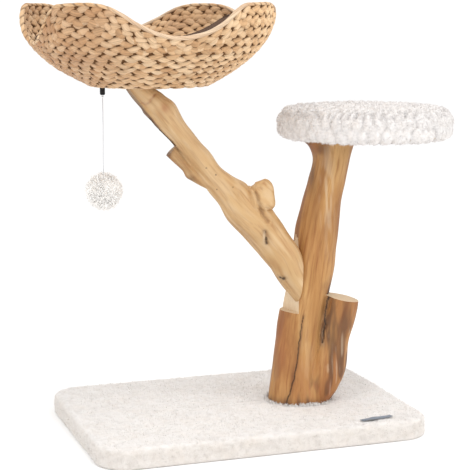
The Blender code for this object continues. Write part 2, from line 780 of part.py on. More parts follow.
def build_cushion():
    cloth = finish_material("cushion_cloth", (0.16, 0.11, 0.09), 0.90)
    lie = BOWL_WALL + 2 * FRAME_WIRE + CUSHION_CLEARANCE
    bottom = BOWL_BOTTOM + BOWL_WALL + DISC_THICK + 2 * GAP + 0.001
    middle = bottom + CUSHION_THICK
    centre = Vector((*BOWL_CENTRE, 0.0))
    angles = [2 * math.pi * i / CUSHION_SIDES for i in range(CUSHION_SIDES)]
    rings = [circle(BOWL_CENTRE, CUSHION_FOOT_RADIUS, bottom, CUSHION_SIDES)]
    for share in CUSHION_WALL_SHARES:
        ring = [bowl_point(angle, share * cushion_edge_rise(angle), lie) for angle in angles]
        for point in ring:
            point.z = max(point.z, bottom)
        rings.append(ring)
    edge = [bowl_point(angle, cushion_edge_rise(angle), lie + CUSHION_LIP) for angle in angles]
    rings.append(edge)
    for share in CUSHION_TOP_SHARES:
        ring = []
        for point in edge:
            spot = centre + (Vector((point.x, point.y, 0.0)) - centre) * share
            spot.z = middle + (point.z + 0.004 - middle) * share**CUSHION_TOP_CURVE
            ring.append(spot)
        rings.append(ring)
    place_mesh("bowl_cushion", loft(rings), cloth, (*BOWL_CENTRE, bottom), 60)


def build_toy(weave):
    black = finish_material("black_plastic", (0.012, 0.012, 0.013), 0.45)
    white_cord = finish_material("white_cord", (0.86, 0.86, 0.84), 0.70)
    fluff = finish_material("pompom_fluff", (0.87, 0.85, 0.82), 0.95)
    ferrule_top = BOWL_BOTTOM - GAP
    ferrule_bottom = ferrule_top - FERRULE_LENGTH
    floor = BOWL_BOTTOM + BOWL_WALL
    button_bottom = floor + GAP
    turned(
        "toy_ferrule",
        black,
        TOY_SPOT,
        [
            (FERRULE_RADIUS - 0.0013, ferrule_bottom),
            (FERRULE_RADIUS, ferrule_bottom + 0.0015),
            (FERRULE_RADIUS, ferrule_top),
            (SHANK_RADIUS, ferrule_top),
            (SHANK_RADIUS, button_bottom + BUTTON_THICK + 0.0006),
        ],
        16,
    )
    hole = rod_helper(
        "ferrule_hole",
        Vector((*TOY_SPOT, ferrule_bottom)),
        Vector((*TOY_SPOT, floor + 0.02)),
        SHANK_RADIUS + GAP,
    )
    combine(weave, hole)
    button = (SHANK_RADIUS + GAP, BUTTON_RADIUS, button_bottom, button_bottom + BUTTON_THICK)
    build_tube("ferrule_button", black, TOY_SPOT, *button)

    pivot_height = ferrule_bottom - GAP - KNOT_RADIUS
    pivot = bpy.data.objects.new("toy_pivot", None)
    pivot.location = (*TOY_SPOT, pivot_height)
    bpy.context.scene.collection.objects.link(pivot)

    shape = bmesh.new()
    bmesh.ops.create_uvsphere(shape, u_segments=12, v_segments=8, radius=KNOT_RADIUS)
    knot = place_mesh("cord_knot", shape, white_cord)
    knot.parent = pivot

    cord_top = -KNOT_RADIUS - GAP
    line = bpy.data.curves.new("toy_cord", "CURVE")
    line.dimensions = "3D"
    line.bevel_depth = CORD_RADIUS
    line.bevel_resolution = 2
    line.use_fill_caps = True
    spline = line.splines.new("POLY")
    spline.points.add(CORD_STEPS)
    for i, point in enumerate(spline.points):
        point.co = (0.0, 0.0, cord_top - CORD_LENGTH * i / CORD_STEPS, 1.0)
    line.materials.append(white_cord)
    cord = bpy.data.objects.new("toy_cord", line)
    bpy.context.scene.collection.objects.link(cord)
    cord.parent = pivot

    shape = bmesh.new()
    bmesh.ops.create_uvsphere(shape, u_segments=24, v_segments=14, radius=POMPOM_RADIUS)
    shape.transform(Matrix.Translation((0.0, 0.0, cord_top - CORD_LENGTH - GAP - POMPOM_RADIUS)))
    pompom = place_mesh("pompom", shape, fluff)
    pompom.parent = pivot


def main():
    clear_scene()
    finish_material("steel", (0.55, 0.56, 0.58), 0.35, 1.0)
    cover, board, board_bottom = build_base()
    trunk = build_trunk()
    branch = build_branch(trunk)
    build_branch_screws(trunk, branch)
    build_trunk_bolts(cover, board, trunk, board_bottom)
    build_perch(trunk)
    weave = build_weave()
    build_rim()
    build_wire_frame()
    build_bowl_fixing(weave, branch)
    build_cushion()
    build_toy(weave)


main()
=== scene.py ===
"""Cat tree: the looks of its wood, plush, woven straw, cushion and hanging toy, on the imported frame."""

import math

import bmesh
import bpy
import numpy as np
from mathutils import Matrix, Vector


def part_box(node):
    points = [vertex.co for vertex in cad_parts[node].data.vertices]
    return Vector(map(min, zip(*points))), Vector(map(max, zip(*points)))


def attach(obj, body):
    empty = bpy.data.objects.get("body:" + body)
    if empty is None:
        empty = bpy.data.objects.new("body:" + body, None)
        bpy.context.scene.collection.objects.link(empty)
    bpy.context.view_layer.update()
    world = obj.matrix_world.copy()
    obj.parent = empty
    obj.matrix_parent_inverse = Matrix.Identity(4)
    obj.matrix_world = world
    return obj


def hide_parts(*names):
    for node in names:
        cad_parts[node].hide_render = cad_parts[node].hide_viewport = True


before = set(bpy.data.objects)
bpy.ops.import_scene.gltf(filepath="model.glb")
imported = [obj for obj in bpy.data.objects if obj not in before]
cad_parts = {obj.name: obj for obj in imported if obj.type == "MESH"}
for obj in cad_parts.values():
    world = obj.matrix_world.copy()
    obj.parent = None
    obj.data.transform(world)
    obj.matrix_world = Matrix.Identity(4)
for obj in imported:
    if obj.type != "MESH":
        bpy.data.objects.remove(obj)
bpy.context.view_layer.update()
scene = bpy.context.scene

TURN = 2 * math.pi
UP = np.array([0.0, 0.0, 1.0])
SQUARE = ((-1, -1), (1, -1), (1, 1), (-1, 1))

# The picture's view and its soft light: each lamp's place, target, size and power.
CAMERA_PLACE = (-0.8239, -2.3897, 0.7587)
CAMERA_TURN = math.radians(-19.022)
CAMERA_DOWN = math.radians(9.306)
CAMERA_LENS = 109.85
LIGHTS = (
    ("key", (-1.9, -1.6, 2.3), (0.0, 0.0, 0.4), 1.3, 15),
    ("fill", (2.2, -1.8, 1.2), (0.0, 0.0, 0.4), 1.6, 13),
    ("above", (0.4, -0.9, 2.8), (-0.1, 0.0, 0.6), 1.2, 15),
)
FLOOR_HALF = 20.0

# Sizes repeated from the CAD, in metres.
GAP = 0.0003
TREE_TURN = math.radians(-19)
ALONG = np.array([math.cos(TREE_TURN), math.sin(TREE_TURN), 0.0])
ACROSS = np.array([-math.sin(TREE_TURN), math.cos(TREE_TURN), 0.0])
BASE_WIDTH = 0.600
BASE_DEPTH = 0.420
BASE_CORNER = 0.056
BASE_HEIGHT = 0.036
BASE_EDGE_ROUND = 0.010
PERCH_CENTRE = (0.250, 0.000)
PERCH_RADIUS = 0.157
PERCH_BOTTOM = 0.515
PERCH_EDGE_ROUND = 0.018
PERCH_HEM_RADIUS = 0.125
BOWL_CENTRE = (-0.156, 0.001)
BOWL_BOTTOM = 0.6130
BOWL_HEIGHT = 0.1385
BOWL_FOOT_RADIUS = 0.102
BOWL_TOP_RADIUS = 0.2195
BOWL_CURVE = 2.3
BOWL_WALL = 0.0085
PETALS = 4
PETAL_TURN = math.radians(-134)
PETAL_DROP = 0.053
PETAL_FLATNESS = 0.35
DIP_FLATNESS = 0.10
LOW_SIDE = math.radians(180)
LOW_SIDE_DROP = 0.012
CUSHION_EDGE = 0.075
CUSHION_RAISED_SIDE = math.radians(22)
CUSHION_RAISED_SPREAD = math.radians(17.5)
CUSHION_RAISE = 0.047
CUSHION_BELOW_RIM = 0.008
CUSHION_LIE = 0.0142
TOY_SPOT = (-0.2322, 0.0271)
CORD_LENGTH = 0.1290
CORD_TUCKED = 0.0220
CORD_RADIUS = 0.0009
STUB_CUT_SPOT = (0.198, 0.032, 0.2235)
STUB_CUT_TILT = math.radians(12)
SEAT_SPOT = (0.115, 0.003, 0.200)
SEAT_FACING = (-0.902, -0.421, 0.090)
SEAT_TOP = 0.330
SEAT_SIZE = 0.200
TWIG_END = (-0.1125, -0.039, 0.4985)

# Small departures of the bowl and the cushion from the CAD: sides and spreads of swellings round the bowl.
RIM_LIFTS = ((-150, 6, 0.008), (152, 7, 0.009), (-62, 8, 0.010), (-40, 15, 0.003), (-134, 15, 0.0015))
FULL_SIDE = math.radians(161)
FULL_SPREAD = math.radians(42)
FULLNESS = 0.006
SETTLED_SIDE = math.radians(78)
SETTLED_SPREAD = math.radians(27)
SETTLED_DROP = 0.015

# Cushion: the hem and the piping are rings below the edge and inside the cloth, with these radii.
HEM_BELOW, HEM_INSIDE, HEM_RADIUS = 0.0046, 0.0042, 0.0038
PIPING_BELOW, PIPING_INSIDE, PIPING_RADIUS = 0.0024, 0.0044, 0.0029
CUSHION_VOXEL = 0.0042
CUSHION_SHRINK = 0.0008
CUSHION_PRESSURE = 4.0
CUSHION_FRAMES = 18
BUTTON_RADIUS, BUTTON_HEIGHT, BUTTON_DIP = 0.0095, 0.0045, 0.009

# Plush: spacing of the board's rings, and the perch's locks and curls.
BASE_STEP = 0.0032
BASE_FIBRES = 30000
PERCH_PILE_INSET = 0.0042
PERCH_UNDER_ROUND = 0.012
PERCH_CROWN = 0.0065
PERCH_FIBRES = 26000
LOCK_COUNT = 50
LOCK_ROWS = (0.5250, 0.5470)
CURL_PITCH = 0.0155
LANE_PITCH = 0.0165

# Toy: points of the string, fibres and core of the ball.
CORD_POINTS = 32
POMPOM_FIBRES = 8000
POMPOM_CORE = 0.84

# Rows of each limb: along and across the tree's plane, height, half width, half depth.
TRUNK_ROWS = (
    (0.109, 0.026, 0.036, 0.050, 0.048),
    (0.111, 0.030, 0.080, 0.045, 0.045),
    (0.117, 0.036, 0.140, 0.044, 0.042),
    (0.124, 0.041, 0.190, 0.044, 0.041),
    (0.135, 0.046, 0.240, 0.042, 0.040),
    (0.143, 0.051, 0.300, 0.041, 0.039),
    (0.151, 0.056, 0.352, 0.040, 0.038),
    (0.158, 0.061, 0.395, 0.036, 0.037),
    (0.167, 0.065, 0.435, 0.036, 0.036),
    (0.175, 0.069, 0.475, 0.035, 0.036),
    (0.1745, 0.072, 0.518, 0.0485, 0.042),
)
STUB_ROWS = (
    (0.138, 0.020, 0.036, 0.034, 0.036),
    (0.152, 0.022, 0.060, 0.036, 0.037),
    (0.167, 0.026, 0.095, 0.036, 0.037),
    (0.176, 0.030, 0.140, 0.031, 0.034),
    (0.184, 0.032, 0.180, 0.033, 0.032),
    (0.192, 0.032, 0.210, 0.031, 0.030),
    (0.194, 0.032, 0.240, 0.030, 0.029),
)
BRANCH_ROWS = (
    (0.150, 0.040, 0.200, 0.020, 0.020),
    (0.126, 0.028, 0.235, 0.024, 0.026),
    (0.1035, 0.020, 0.270, 0.028, 0.028),
    (0.089, 0.012, 0.301, 0.031, 0.028),
    (0.066, 0.005, 0.333, 0.0325, 0.028),
    (0.041, -0.001, 0.364, 0.035, 0.029),
    (0.013, -0.006, 0.391, 0.032, 0.028),
    (-0.014, -0.012, 0.425, 0.027, 0.026),
    (-0.040, -0.019, 0.455, 0.0215, 0.024),
    (-0.064, -0.025, 0.486, 0.0215, 0.023),
    (-0.091, -0.032, 0.521, 0.0205, 0.021),
    (-0.1175, -0.040, 0.556, 0.0245, 0.022),
    (-0.132, -0.044, 0.5755, 0.0220, 0.022),
    (-0.163, -0.050, 0.607, 0.0190, 0.024),
    (-0.172, -0.052, 0.620, 0.0190, 0.024),
)
KNOB_ROWS = (
    (0.020, -0.004, 0.385, 0.022, 0.022),
    (0.0415, -0.006, 0.410, 0.0265, 0.022),
    (0.0490, -0.007, 0.424, 0.0215, 0.018),
    (0.0470, -0.007, 0.4365, 0.0175, 0.014),
    (0.0440, -0.007, 0.4435, 0.0090, 0.008),
)
TWIG_ROWS = (
    (-0.040, -0.024, 0.440, 0.012, 0.013),
    (-0.068, -0.028, 0.455, 0.0125, 0.013),
    (-0.088, -0.033, 0.474, 0.0100, 0.011),
    (-0.114, -0.039, 0.500, 0.0105, 0.011),
)

# Paths drawn on the front of the limbs, as places along the tree's plane and heights.
CRACK = ((0.1226, 0.196), (0.1190, 0.170), (0.1157, 0.147), (0.1120, 0.112), (0.1062, 0.082), (0.0929, 0.036))
SPLIT = ((0.1735, 0.252), (0.1690, 0.225), (0.1643, 0.197), (0.1576, 0.146))
VALLEY = ((0.1735, 0.252), (0.1640, 0.190), (0.1560, 0.120))
GROOVE = ((0.0370, 0.4230), (0.0404, 0.4153), (0.0445, 0.3960), (0.0520, 0.3800), (0.0570, 0.3730))
KNOT = ((0.0535, 0.3540), (0.0560, 0.3330))
CREASE = ((-0.1610, 0.5850), (-0.1530, 0.5830), (-0.1465, 0.5865), (-0.1370, 0.5990))
TWIG_SEAM = ((-0.1110, 0.5170), (-0.0975, 0.4990), (-0.0836, 0.4790), (-0.0780, 0.4680))
# Low swellings of the branch: along, height, size and rise; and small dark specks.
SWELLINGS = (
    (-0.0800, 0.4570, 0.0085, 0.0040),
    (-0.1120, 0.5780, 0.0130, 0.0034),
    (-0.1500, 0.5650, 0.0090, 0.0030),
    (0.0640, 0.4000, 0.0130, 0.0050),
    (0.0200, 0.4330, 0.0170, 0.0070),
)
HOLES = ((0.0868, 0.2655), (0.0815, 0.2668))
SPECKS = ((-0.0333, 0.4577), (-0.0316, 0.4312), (-0.0036, 0.4348), (-0.1084, 0.5052), (-0.0500, 0.4700))

# Weave: pitch of the braid rows, length of one full turn of a strand, and a strand's half sizes.
ROW_PITCH = 0.0170
BRAID_TURN = 0.080
BRAID_REACH = 0.0052
BRAID_DEPTH = 0.0024
STRAND_HALF = 0.0066
STRAND_THICK = 0.0021
BORDER_FIRST = 0.0118
BORDER_PITCH = 0.0165


# ---------------------------------------------------------------- camera, light and floor


def shown(name, data):
    """An object with the given data, linked to the scene."""
    obj = bpy.data.objects.new(name, data)
    scene.collection.objects.link(obj)
    return obj


def build_camera():
    """The viewing place of the picture: slightly above the perch, turned a little to the right."""
    turn, down = CAMERA_TURN, CAMERA_DOWN
    look = Vector((-math.sin(turn) * math.cos(down), math.cos(turn) * math.cos(down), -math.sin(down)))
    lens = bpy.data.cameras.new("camera")
    lens.sensor_width = 36
    lens.lens = CAMERA_LENS
    lens.clip_end = 50
    camera = shown("camera", lens)
    camera.location = CAMERA_PLACE
    camera.rotation_euler = look.to_track_quat("-Z", "Y").to_euler()
    scene.camera = camera


def build_studio():
    world = bpy.data.worlds.new("studio")
    scene.world = world
    world.use_nodes = True
    background = world.node_tree.nodes["Background"]
    background.inputs["Color"].default_value = (1.0, 1.0, 1.0, 1.0)
    background.inputs["Strength"].default_value = 0.99
    scene.view_settings.view_transform = "Standard"
    scene.view_settings.exposure = 0.10
    for name, place, target, size, power in LIGHTS:
        light = bpy.data.lights.new(name, "AREA")
        light.shape = "DISK"
        light.size = size
        light.energy = power
        turn = (Vector(target) - Vector(place)).to_track_quat("-Z", "Y").to_euler()
        obj = shown(name, light)
        obj.location = place
        obj.rotation_euler = turn
    paint = bpy.data.materials.new("floor")
    paint.use_nodes = True
    shader = paint.node_tree.nodes["Principled BSDF"]
    shader.inputs["Base Color"].default_value = (0.97, 0.97, 0.97, 1.0)
    shader.inputs["Roughness"].default_value = 0.9
    shader.inputs["Specular IOR Level"].default_value = 0.1
    mesh = bpy.data.meshes.new("floor")
    corners = [(x * FLOOR_HALF, y * FLOOR_HALF, 0.0) for x, y in SQUARE]
    mesh.from_pydata(corners, [], [(0, 1, 2, 3)])
    mesh.materials.append(paint)
    shown("floor", mesh)


# ---------------------------------------------------------------- meshes from arrays


def mesh_object(name, points, faces, materials, smooth=True):
    """An object from an array of points and a list of arrays of faces with 3 or 4 corners."""
    mesh = bpy.data.meshes.new(name)
    mesh.vertices.add(len(points))
    mesh.vertices.foreach_set("co", np.asarray(points, np.float32).ravel())
    counts = np.concatenate([np.full(len(group), group.shape[1]) for group in faces])
    corners = np.concatenate([np.asarray(group).ravel() for group in faces])
    mesh.loops.add(len(corners))
    mesh.loops.foreach_set("vertex_index", corners.astype(np.int32))
    mesh.polygons.add(len(counts))
    starts = np.concatenate([[0], np.cumsum(counts)[:-1]])
    mesh.polygons.foreach_set("loop_start", starts.astype(np.int32))
    mesh.update(calc_edges=True)
    mesh.validate()
    if smooth:
        mesh.shade_smooth()
    for material in materials if isinstance(materials, (list, tuple)) else [materials]:
        mesh.materials.append(material)
    return shown(name, mesh)


def belongs(obj, body, node=None):
    """Hangs the piece under its body, and hides the CAD node it stands for, if one is given."""
    if node:
        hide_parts(node)
    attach(obj, body)


def point_values(obj, name, values):
    """Stores a number or a vector at each point, for the materials."""
    values = np.asarray(values, np.float32)
    if values.ndim == 2:
        made = obj.data.attributes.new(name, "FLOAT_VECTOR", "POINT")
        made.data.foreach_set("vector", values.ravel())
    else:
        made = obj.data.attributes.new(name, "FLOAT", "POINT")
        made.data.foreach_set("value", values)


def read(items, name, kind=np.float32):
    found = np.empty(len(items) * 3, kind)
    items.foreach_get(name, found)
    return found.reshape(-1, 3)


def surface(obj):
    """The object's points and the normals at them."""
    vertices = obj.data.vertices
    return read(vertices, "co").astype(np.float64), read(vertices, "normal").astype(np.float64)


def set_points(mesh, points):
    mesh.vertices.foreach_set("co", np.asarray(points, np.float32).ravel())
    mesh.update()


def xyz(x, y, z):
    """Points from coordinates, each an array or one number."""
    return np.stack(np.broadcast_arrays(x, y, z), -1)


def round_about(count):
    """Angles spread evenly round a full turn."""
    return np.linspace(0, TURN, count, endpoint=False)


def unit(vectors):
    return vectors / np.linalg.norm(vectors, axis=1)[:, None]


def travelled(points):
    """The way covered up to each point of a row."""
    return np.concatenate([[0], np.cumsum(np.linalg.norm(np.diff(points, axis=0), axis=1))])


def grid_faces(rows, columns, wrap_rows=False, wrap_columns=False, start=0):
    """Quads of a grid of points, stored row by row."""
    r = np.arange(rows if wrap_rows else rows - 1)
    c = np.arange(columns if wrap_columns else columns - 1)
    r, c = np.meshgrid(r, c, indexing="ij")
    r2 = (r + 1) % rows
    c2 = (c + 1) % columns
    quads = np.stack([r * columns + c, r * columns + c2, r2 * columns + c2, r2 * columns + c], -1)
    return quads.reshape(-1, 4) + start


def tube_faces(rings, sides, start=True):
    """Faces of a tube of rings; its ends are closed with fans to points that come after the rings."""
    count = rings * sides
    k = np.arange(sides)
    faces = [grid_faces(rings, sides, wrap_columns=True)]
    if start:
        faces.append(np.stack([np.full(sides, count), (k + 1) % sides, k], -1))
    last = count - sides
    faces.append(np.stack([np.full(sides, count + start), last + k, last + (k + 1) % sides], -1))
    return faces


def joined(name, parts, materials):
    """One object from several (points, list of faces) parts."""
    points = []
    faces = []
    start = 0
    for part_points, part_faces in parts:
        points.append(part_points)
        faces += [group + start for group in part_faces]
        start += len(part_points)
    return mesh_object(name, np.concatenate(points), faces, materials)


def apply_modifiers(obj):
    """The evaluated mesh becomes the object's own, and its modifiers go."""
    graph = bpy.context.evaluated_depsgraph_get()
    made = bpy.data.meshes.new_from_object(obj.evaluated_get(graph))
    obj.modifiers.clear()
    obj.data = made
    made.shade_smooth()


def voxel_joined(obj, size):
    """Overlapping closed shapes become one even skin."""
    modifier = obj.modifiers.new("skin", "REMESH")
    modifier.mode = "VOXEL"
    modifier.voxel_size = size
    modifier.use_smooth_shade = True
    apply_modifiers(obj)


def smooth(edge_low, edge_high, value):
    share = np.clip((value - edge_low) / (edge_high - edge_low), 0, 1)
    return share * share * (3 - 2 * share)


def bell(value, width):
    return np.exp(-((value / width) ** 2))


def corner_value(x, y, z, seed):
    """A repeatable random number from -1 to 1 for each corner of a lattice."""
    mixed = x * 374761393 + y * 668265263 + z * 1274126177 + seed * 974634777
    mixed = (mixed ^ (mixed >> 13)) & 0xFFFFFFFF
    mixed = (mixed * 1274126177) & 0xFFFFFFFF
    mixed = (mixed ^ (mixed >> 16)) & 0xFFFF
    return mixed / 32767.5 - 1


def bumps(points, size, seed=0):
    """Smooth noise from -1 to 1 with bumps of about the given size."""
    places = np.asarray(points, np.float64) / size
    base = np.floor(places).astype(np.int64)
    part = places - base
    part = part * part * (3 - 2 * part)
    total = np.zeros(len(places))
    for dx in (0, 1):
        for dy in (0, 1):
            for dz in (0, 1):
                weight = (
                    np.where(dx, part[:, 0], 1 - part[:, 0])
                    * np.where(dy, part[:, 1], 1 - part[:, 1])
                    * np.where(dz, part[:, 2], 1 - part[:, 2])
                )
                total += weight * corner_value(base[:, 0] + dx, base[:, 1] + dy, base[:, 2] + dz, seed)
    return total


# ---------------------------------------------------------------- materials


class Paint:
    """A Principled material under construction."""

    def __init__(self, name, roughness=0.7, specular=0.3):
        self.material = bpy.data.materials.new(name)
        self.material.use_nodes = True
        self.tree = self.material.node_tree
        self.shader = self.tree.nodes["Principled BSDF"]
        self.shader.inputs["Roughness"].default_value = roughness
        self.shader.inputs["Specular IOR Level"].default_value = specular

    def put(self, socket, value):
        if isinstance(value, bpy.types.NodeSocket):
            self.tree.links.new(value, socket)
        elif isinstance(value, tuple) and len(value) == 3 and socket.type == "RGBA":
            socket.default_value = (*value, 1.0)
        else:
            socket.default_value = value

    def node(self, kind, settings=None, **inputs):
        made = self.tree.nodes.new(kind)
        for key, value in (settings or {}).items():
            setattr(made, key, value)
        for key, value in inputs.items():
            self.put(made.inputs[key.replace("_", " ")], value)
        return made

    def math(self, operation, first, second=0.0):
        made = self.node("ShaderNodeMath", {"operation": operation})
        self.put(made.inputs[0], first)
        self.put(made.inputs[1], second)
        return made.outputs[0]

    def times(self, first, second):
        return self.math("MULTIPLY", first, second)

    def plus(self, first, second):
        return self.math("ADD", first, second)

    def value(self, name, kind="Fac"):
        return self.node("ShaderNodeAttribute", {"attribute_name": name}).outputs[kind]

    def place(self):
        return self.node("ShaderNodeTexCoord").outputs["Object"]

    def stretched(self, vector, factors):
        made = self.node("ShaderNodeVectorMath", {"operation": "MULTIPLY"})
        self.put(made.inputs[0], vector)
        made.inputs[1].default_value = factors
        return made.outputs[0]

    def noise(self, vector, scale, detail=3.0, roughness=0.5, distortion=0.0):
        made = self.node(
            "ShaderNodeTexNoise",
            Vector=vector,
            Scale=scale,
            Detail=detail,
            Roughness=roughness,
            Distortion=distortion,
        )
        return made.outputs["Fac"]

    def ramp(self, factor, stops):
        """Colours along a scale; each stop is a place and a colour or a grey."""
        made = self.node("ShaderNodeValToRGB")
        self.put(made.inputs["Fac"], factor)
        while len(made.color_ramp.elements) < len(stops):
            made.color_ramp.elements.new(0.5)
        for element, (position, colour) in zip(made.color_ramp.elements, stops):
            element.position = position
            element.color = (*colour, 1.0) if isinstance(colour, tuple) else (colour, colour, colour, 1.0)
        return made.outputs["Color"]

    def mix(self, factor, first, second, blend="MIX"):
        made = self.node("ShaderNodeMix", {"data_type": "RGBA", "blend_type": blend})
        self.put(made.inputs[0], factor)
        self.put(made.inputs[6], first)
        self.put(made.inputs[7], second)
        return made.outputs[2]

    def bump(self, height, strength, distance, normal=None):
        made = self.node("ShaderNodeBump", Strength=strength, Distance=distance)
        self.put(made.inputs["Height"], height)
        if normal:
            self.put(made.inputs["Normal"], normal)
        return made.outputs["Normal"]

    def done(self, colour, normal=None, roughness=None, sheen=0.0):
        self.put(self.shader.inputs["Base Color"], colour)
        if normal:
            self.put(self.shader.inputs["Normal"], normal)
        if roughness:
            self.put(self.shader.inputs["Roughness"], roughness)
        if sheen:
            self.shader.inputs["Sheen Weight"].default_value = sheen
            self.shader.inputs["Sheen Roughness"].default_value = 0.5
        return self.material


def wood_paint(name, pale, middle, deep, streak_strength):
    """Peeled and sanded limb wood: streaks run along the grain, with stains, cracks and pink marks, and painted shade
    on the branch's underside.
    """
    paint = Paint(name, 0.6, 0.35)
    grain = paint.value("grain", "Vector")
    broad = paint.noise(paint.stretched(grain, (3.0, 22.0, 22.0)), 1.0, 4.0, 0.6, 0.6)
    fine = paint.noise(paint.stretched(grain, (12.0, 170.0, 170.0)), 1.0, 3.0, 0.6, 0.3)
    patches = paint.noise(paint.stretched(grain, (9.0, 14.0, 14.0)), 1.0, 3.0, 0.55, 0.4)
    colour = paint.ramp(broad, [(0.33, deep), (0.48, middle), (0.64, pale)])
    streaks = paint.ramp(fine, [(0.28, (0.60, 0.46, 0.36)), (0.50, (0.96, 0.94, 0.92)), (0.75, 1.0)])
    colour = paint.mix(streak_strength, colour, streaks, "MULTIPLY")
    colour = paint.mix(
        paint.times(paint.ramp(patches, [(0.45, 0.0), (0.75, 1.0)]), 0.30), colour, deep
    )
    stain_and_shade = paint.value("stain_and_shade")
    ragged = paint.times(stain_and_shade, paint.plus(paint.times(broad, 1.2), 0.35))
    # Dark brown from the stain values: stains, and painted shade on the branch's underside.
    colour = paint.mix(paint.math("MINIMUM", ragged, 0.9), colour, (0.115, 0.055, 0.026))
    colour = paint.mix(paint.times(paint.value("red"), 0.55), colour, (0.36, 0.105, 0.035))
    colour = paint.mix(paint.times(paint.value("bleach"), 0.75), colour, (0.74, 0.60, 0.42))
    colour = paint.mix(paint.value("crack"), colour, (0.028, 0.014, 0.008))
    height = paint.plus(paint.times(fine, 0.5), paint.times(broad, 0.9))
    normal = paint.bump(height, 0.55, 0.0012)
    rough = paint.plus(paint.times(fine, 0.22), 0.46)
    return paint.done(colour, normal, rough)


def end_grain_paint(name):
    """Sawn face: pale, with growth rings and saw marks."""
    paint = Paint(name, 0.75, 0.25)
    grain = paint.value("grain", "Vector")
    rings = paint.node("ShaderNodeTexWave", {"wave_type": "BANDS", "bands_direction": "Z"})
    paint.put(rings.inputs["Vector"], grain)
    rings.inputs["Scale"].default_value = 70.0
    rings.inputs["Distortion"].default_value = 3.0
    rings.inputs["Detail"].default_value = 2.0
    grey = paint.noise(paint.place(), 60.0, 4.0)
    saw = paint.noise(paint.stretched(paint.place(), (600.0, 90.0, 90.0)), 1.0, 2.0)
    colour = paint.ramp(rings.outputs["Fac"], [(0.1, (0.60, 0.43, 0.26)), (0.8, (0.76, 0.60, 0.41))])
    colour = paint.mix(paint.times(grey, 0.45), colour, (0.63, 0.50, 0.36))
    normal = paint.bump(paint.plus(saw, rings.outputs["Fac"]), 0.35, 0.0006)
    return paint.done(colour, normal)


def plush_paint(name, pale, shade, scale, lumps):
    """Curly pile: fine loops, soft lumps, painted shade in the hollows and on the sides."""
    paint = Paint(name, 0.95, 0.1)
    spot = paint.place()
    curls = paint.noise(spot, scale, 4.0, 0.6, 1.2)
    hairs = paint.noise(paint.stretched(paint.value("grain", "Vector"), (120.0, 900.0, 900.0)), 1.0, 2.0, 0.6)
    soft = paint.noise(spot, lumps, 3.0, 0.5, 0.6)
    deep = paint.value("hollow_shade")
    colour = paint.ramp(curls, [(0.25, shade), (0.48, pale), (0.80, pale)])
    # Painted shade: greyer in the hollows of the pile, in its folds and at the fibres' roots.
    colour = paint.mix(paint.times(deep, 0.70), colour, shade)
    warm = (pale[0] * 0.99, pale[1] * 0.955, pale[2] * 0.92)
    colour = paint.mix(paint.times(paint.ramp(soft, [(0.45, 0.0), (0.75, 1.0)]), 0.5), colour, warm)
    # Painted shade: the sides darker and warmer than the top.
    colour = paint.mix(paint.value("side"), colour, (0.910, 0.888, 0.862), "MULTIPLY")
    height = paint.plus(curls, paint.times(hairs, 0.8))
    normal = paint.bump(height, 0.6, 0.0014)
    return paint.done(colour, normal, sheen=0.30)


def straw_paint(name, bleach=None):
    """Dried leaf strands: fine fibres along each strand, tone by tone different, painted shade in the gaps and
    painted light on the lit sides.
    """
    paint = Paint(name, 0.55, 0.35)
    strand = paint.value("grain", "Vector")
    fibre = paint.noise(paint.stretched(strand, (26.0, 430.0, 430.0)), 1.0, 3.0, 0.7)
    blotch = paint.noise(strand, 55.0, 3.0, 0.6, 0.3)
    tone = paint.value("tone")
    shift = paint.plus(paint.times(tone, 0.62), paint.times(blotch, 0.42))
    colour = paint.ramp(
        shift,
        [
            (0.12, (0.36, 0.17, 0.075)),
            (0.32, (0.57, 0.33, 0.160)),
            (0.55, (0.72, 0.47, 0.260)),
            (0.85, (0.84, 0.62, 0.400)),
        ],
    )
    if bleach:
        colour = paint.mix(paint.value("bleach"), colour, bleach)
    # Redder and darker where the red values say: on the left partly the leaves' own colour and partly painted shade,
    # inside towards the back painted shade.
    colour = paint.mix(paint.value("red"), colour, (0.43, 0.222, 0.110))
    # Painted light: paler and warmer on the bowl's inner side and on its right.
    colour = paint.mix(paint.value("lit"), colour, (1.0, 0.67, 0.36))
    lines = paint.ramp(fibre, [(0.32, 0.52), (0.55, 1.0)])
    colour = paint.mix(0.75, colour, lines, "MULTIPLY")
    # Painted shade: near black in the gaps under crossing strands and along the strands' edges.
    colour = paint.mix(paint.times(paint.value("hollow_shade"), 0.88), colour, (0.10, 0.045, 0.018))
    normal = paint.bump(fibre, 0.6, 0.0006)
    return paint.done(colour, normal)


def cloth_paint(name, base, dark, threads):
    paint = Paint(name, 0.9, 0.15)
    spot = paint.place()
    across = paint.node("ShaderNodeTexWave", {"wave_type": "BANDS", "bands_direction": "X"}, Vector=spot)
    lengthways = paint.node("ShaderNodeTexWave", {"wave_type": "BANDS", "bands_direction": "Y"}, Vector=spot)
    for wave in (across, lengthways):
        wave.inputs["Scale"].default_value = threads
        wave.inputs["Distortion"].default_value = 1.5
    weave = paint.times(across.outputs["Fac"], lengthways.outputs["Fac"])
    nap = paint.noise(spot, 420.0, 3.0)
    cloudy = paint.noise(spot, 26.0, 3.0, 0.6, 0.4)
    colour = paint.mix(paint.times(cloudy, 0.9), base, dark)
    colour = paint.mix(paint.times(nap, 0.45), colour, dark)
    normal = paint.bump(paint.plus(weave, nap), 0.5, 0.0005)
    return paint.done(colour, normal, sheen=0.04)


def steel_paint():
    paint = Paint("zinc_steel", 0.35, 0.5)
    paint.shader.inputs["Metallic"].default_value = 1.0
    brushed = paint.noise(paint.stretched(paint.place(), (900.0, 900.0, 60.0)), 1.0, 2.0)
    colour = paint.ramp(brushed, [(0.3, (0.45, 0.46, 0.48)), (0.7, (0.62, 0.63, 0.65))])
    return paint.done(colour, paint.bump(brushed, 0.2, 0.0002))


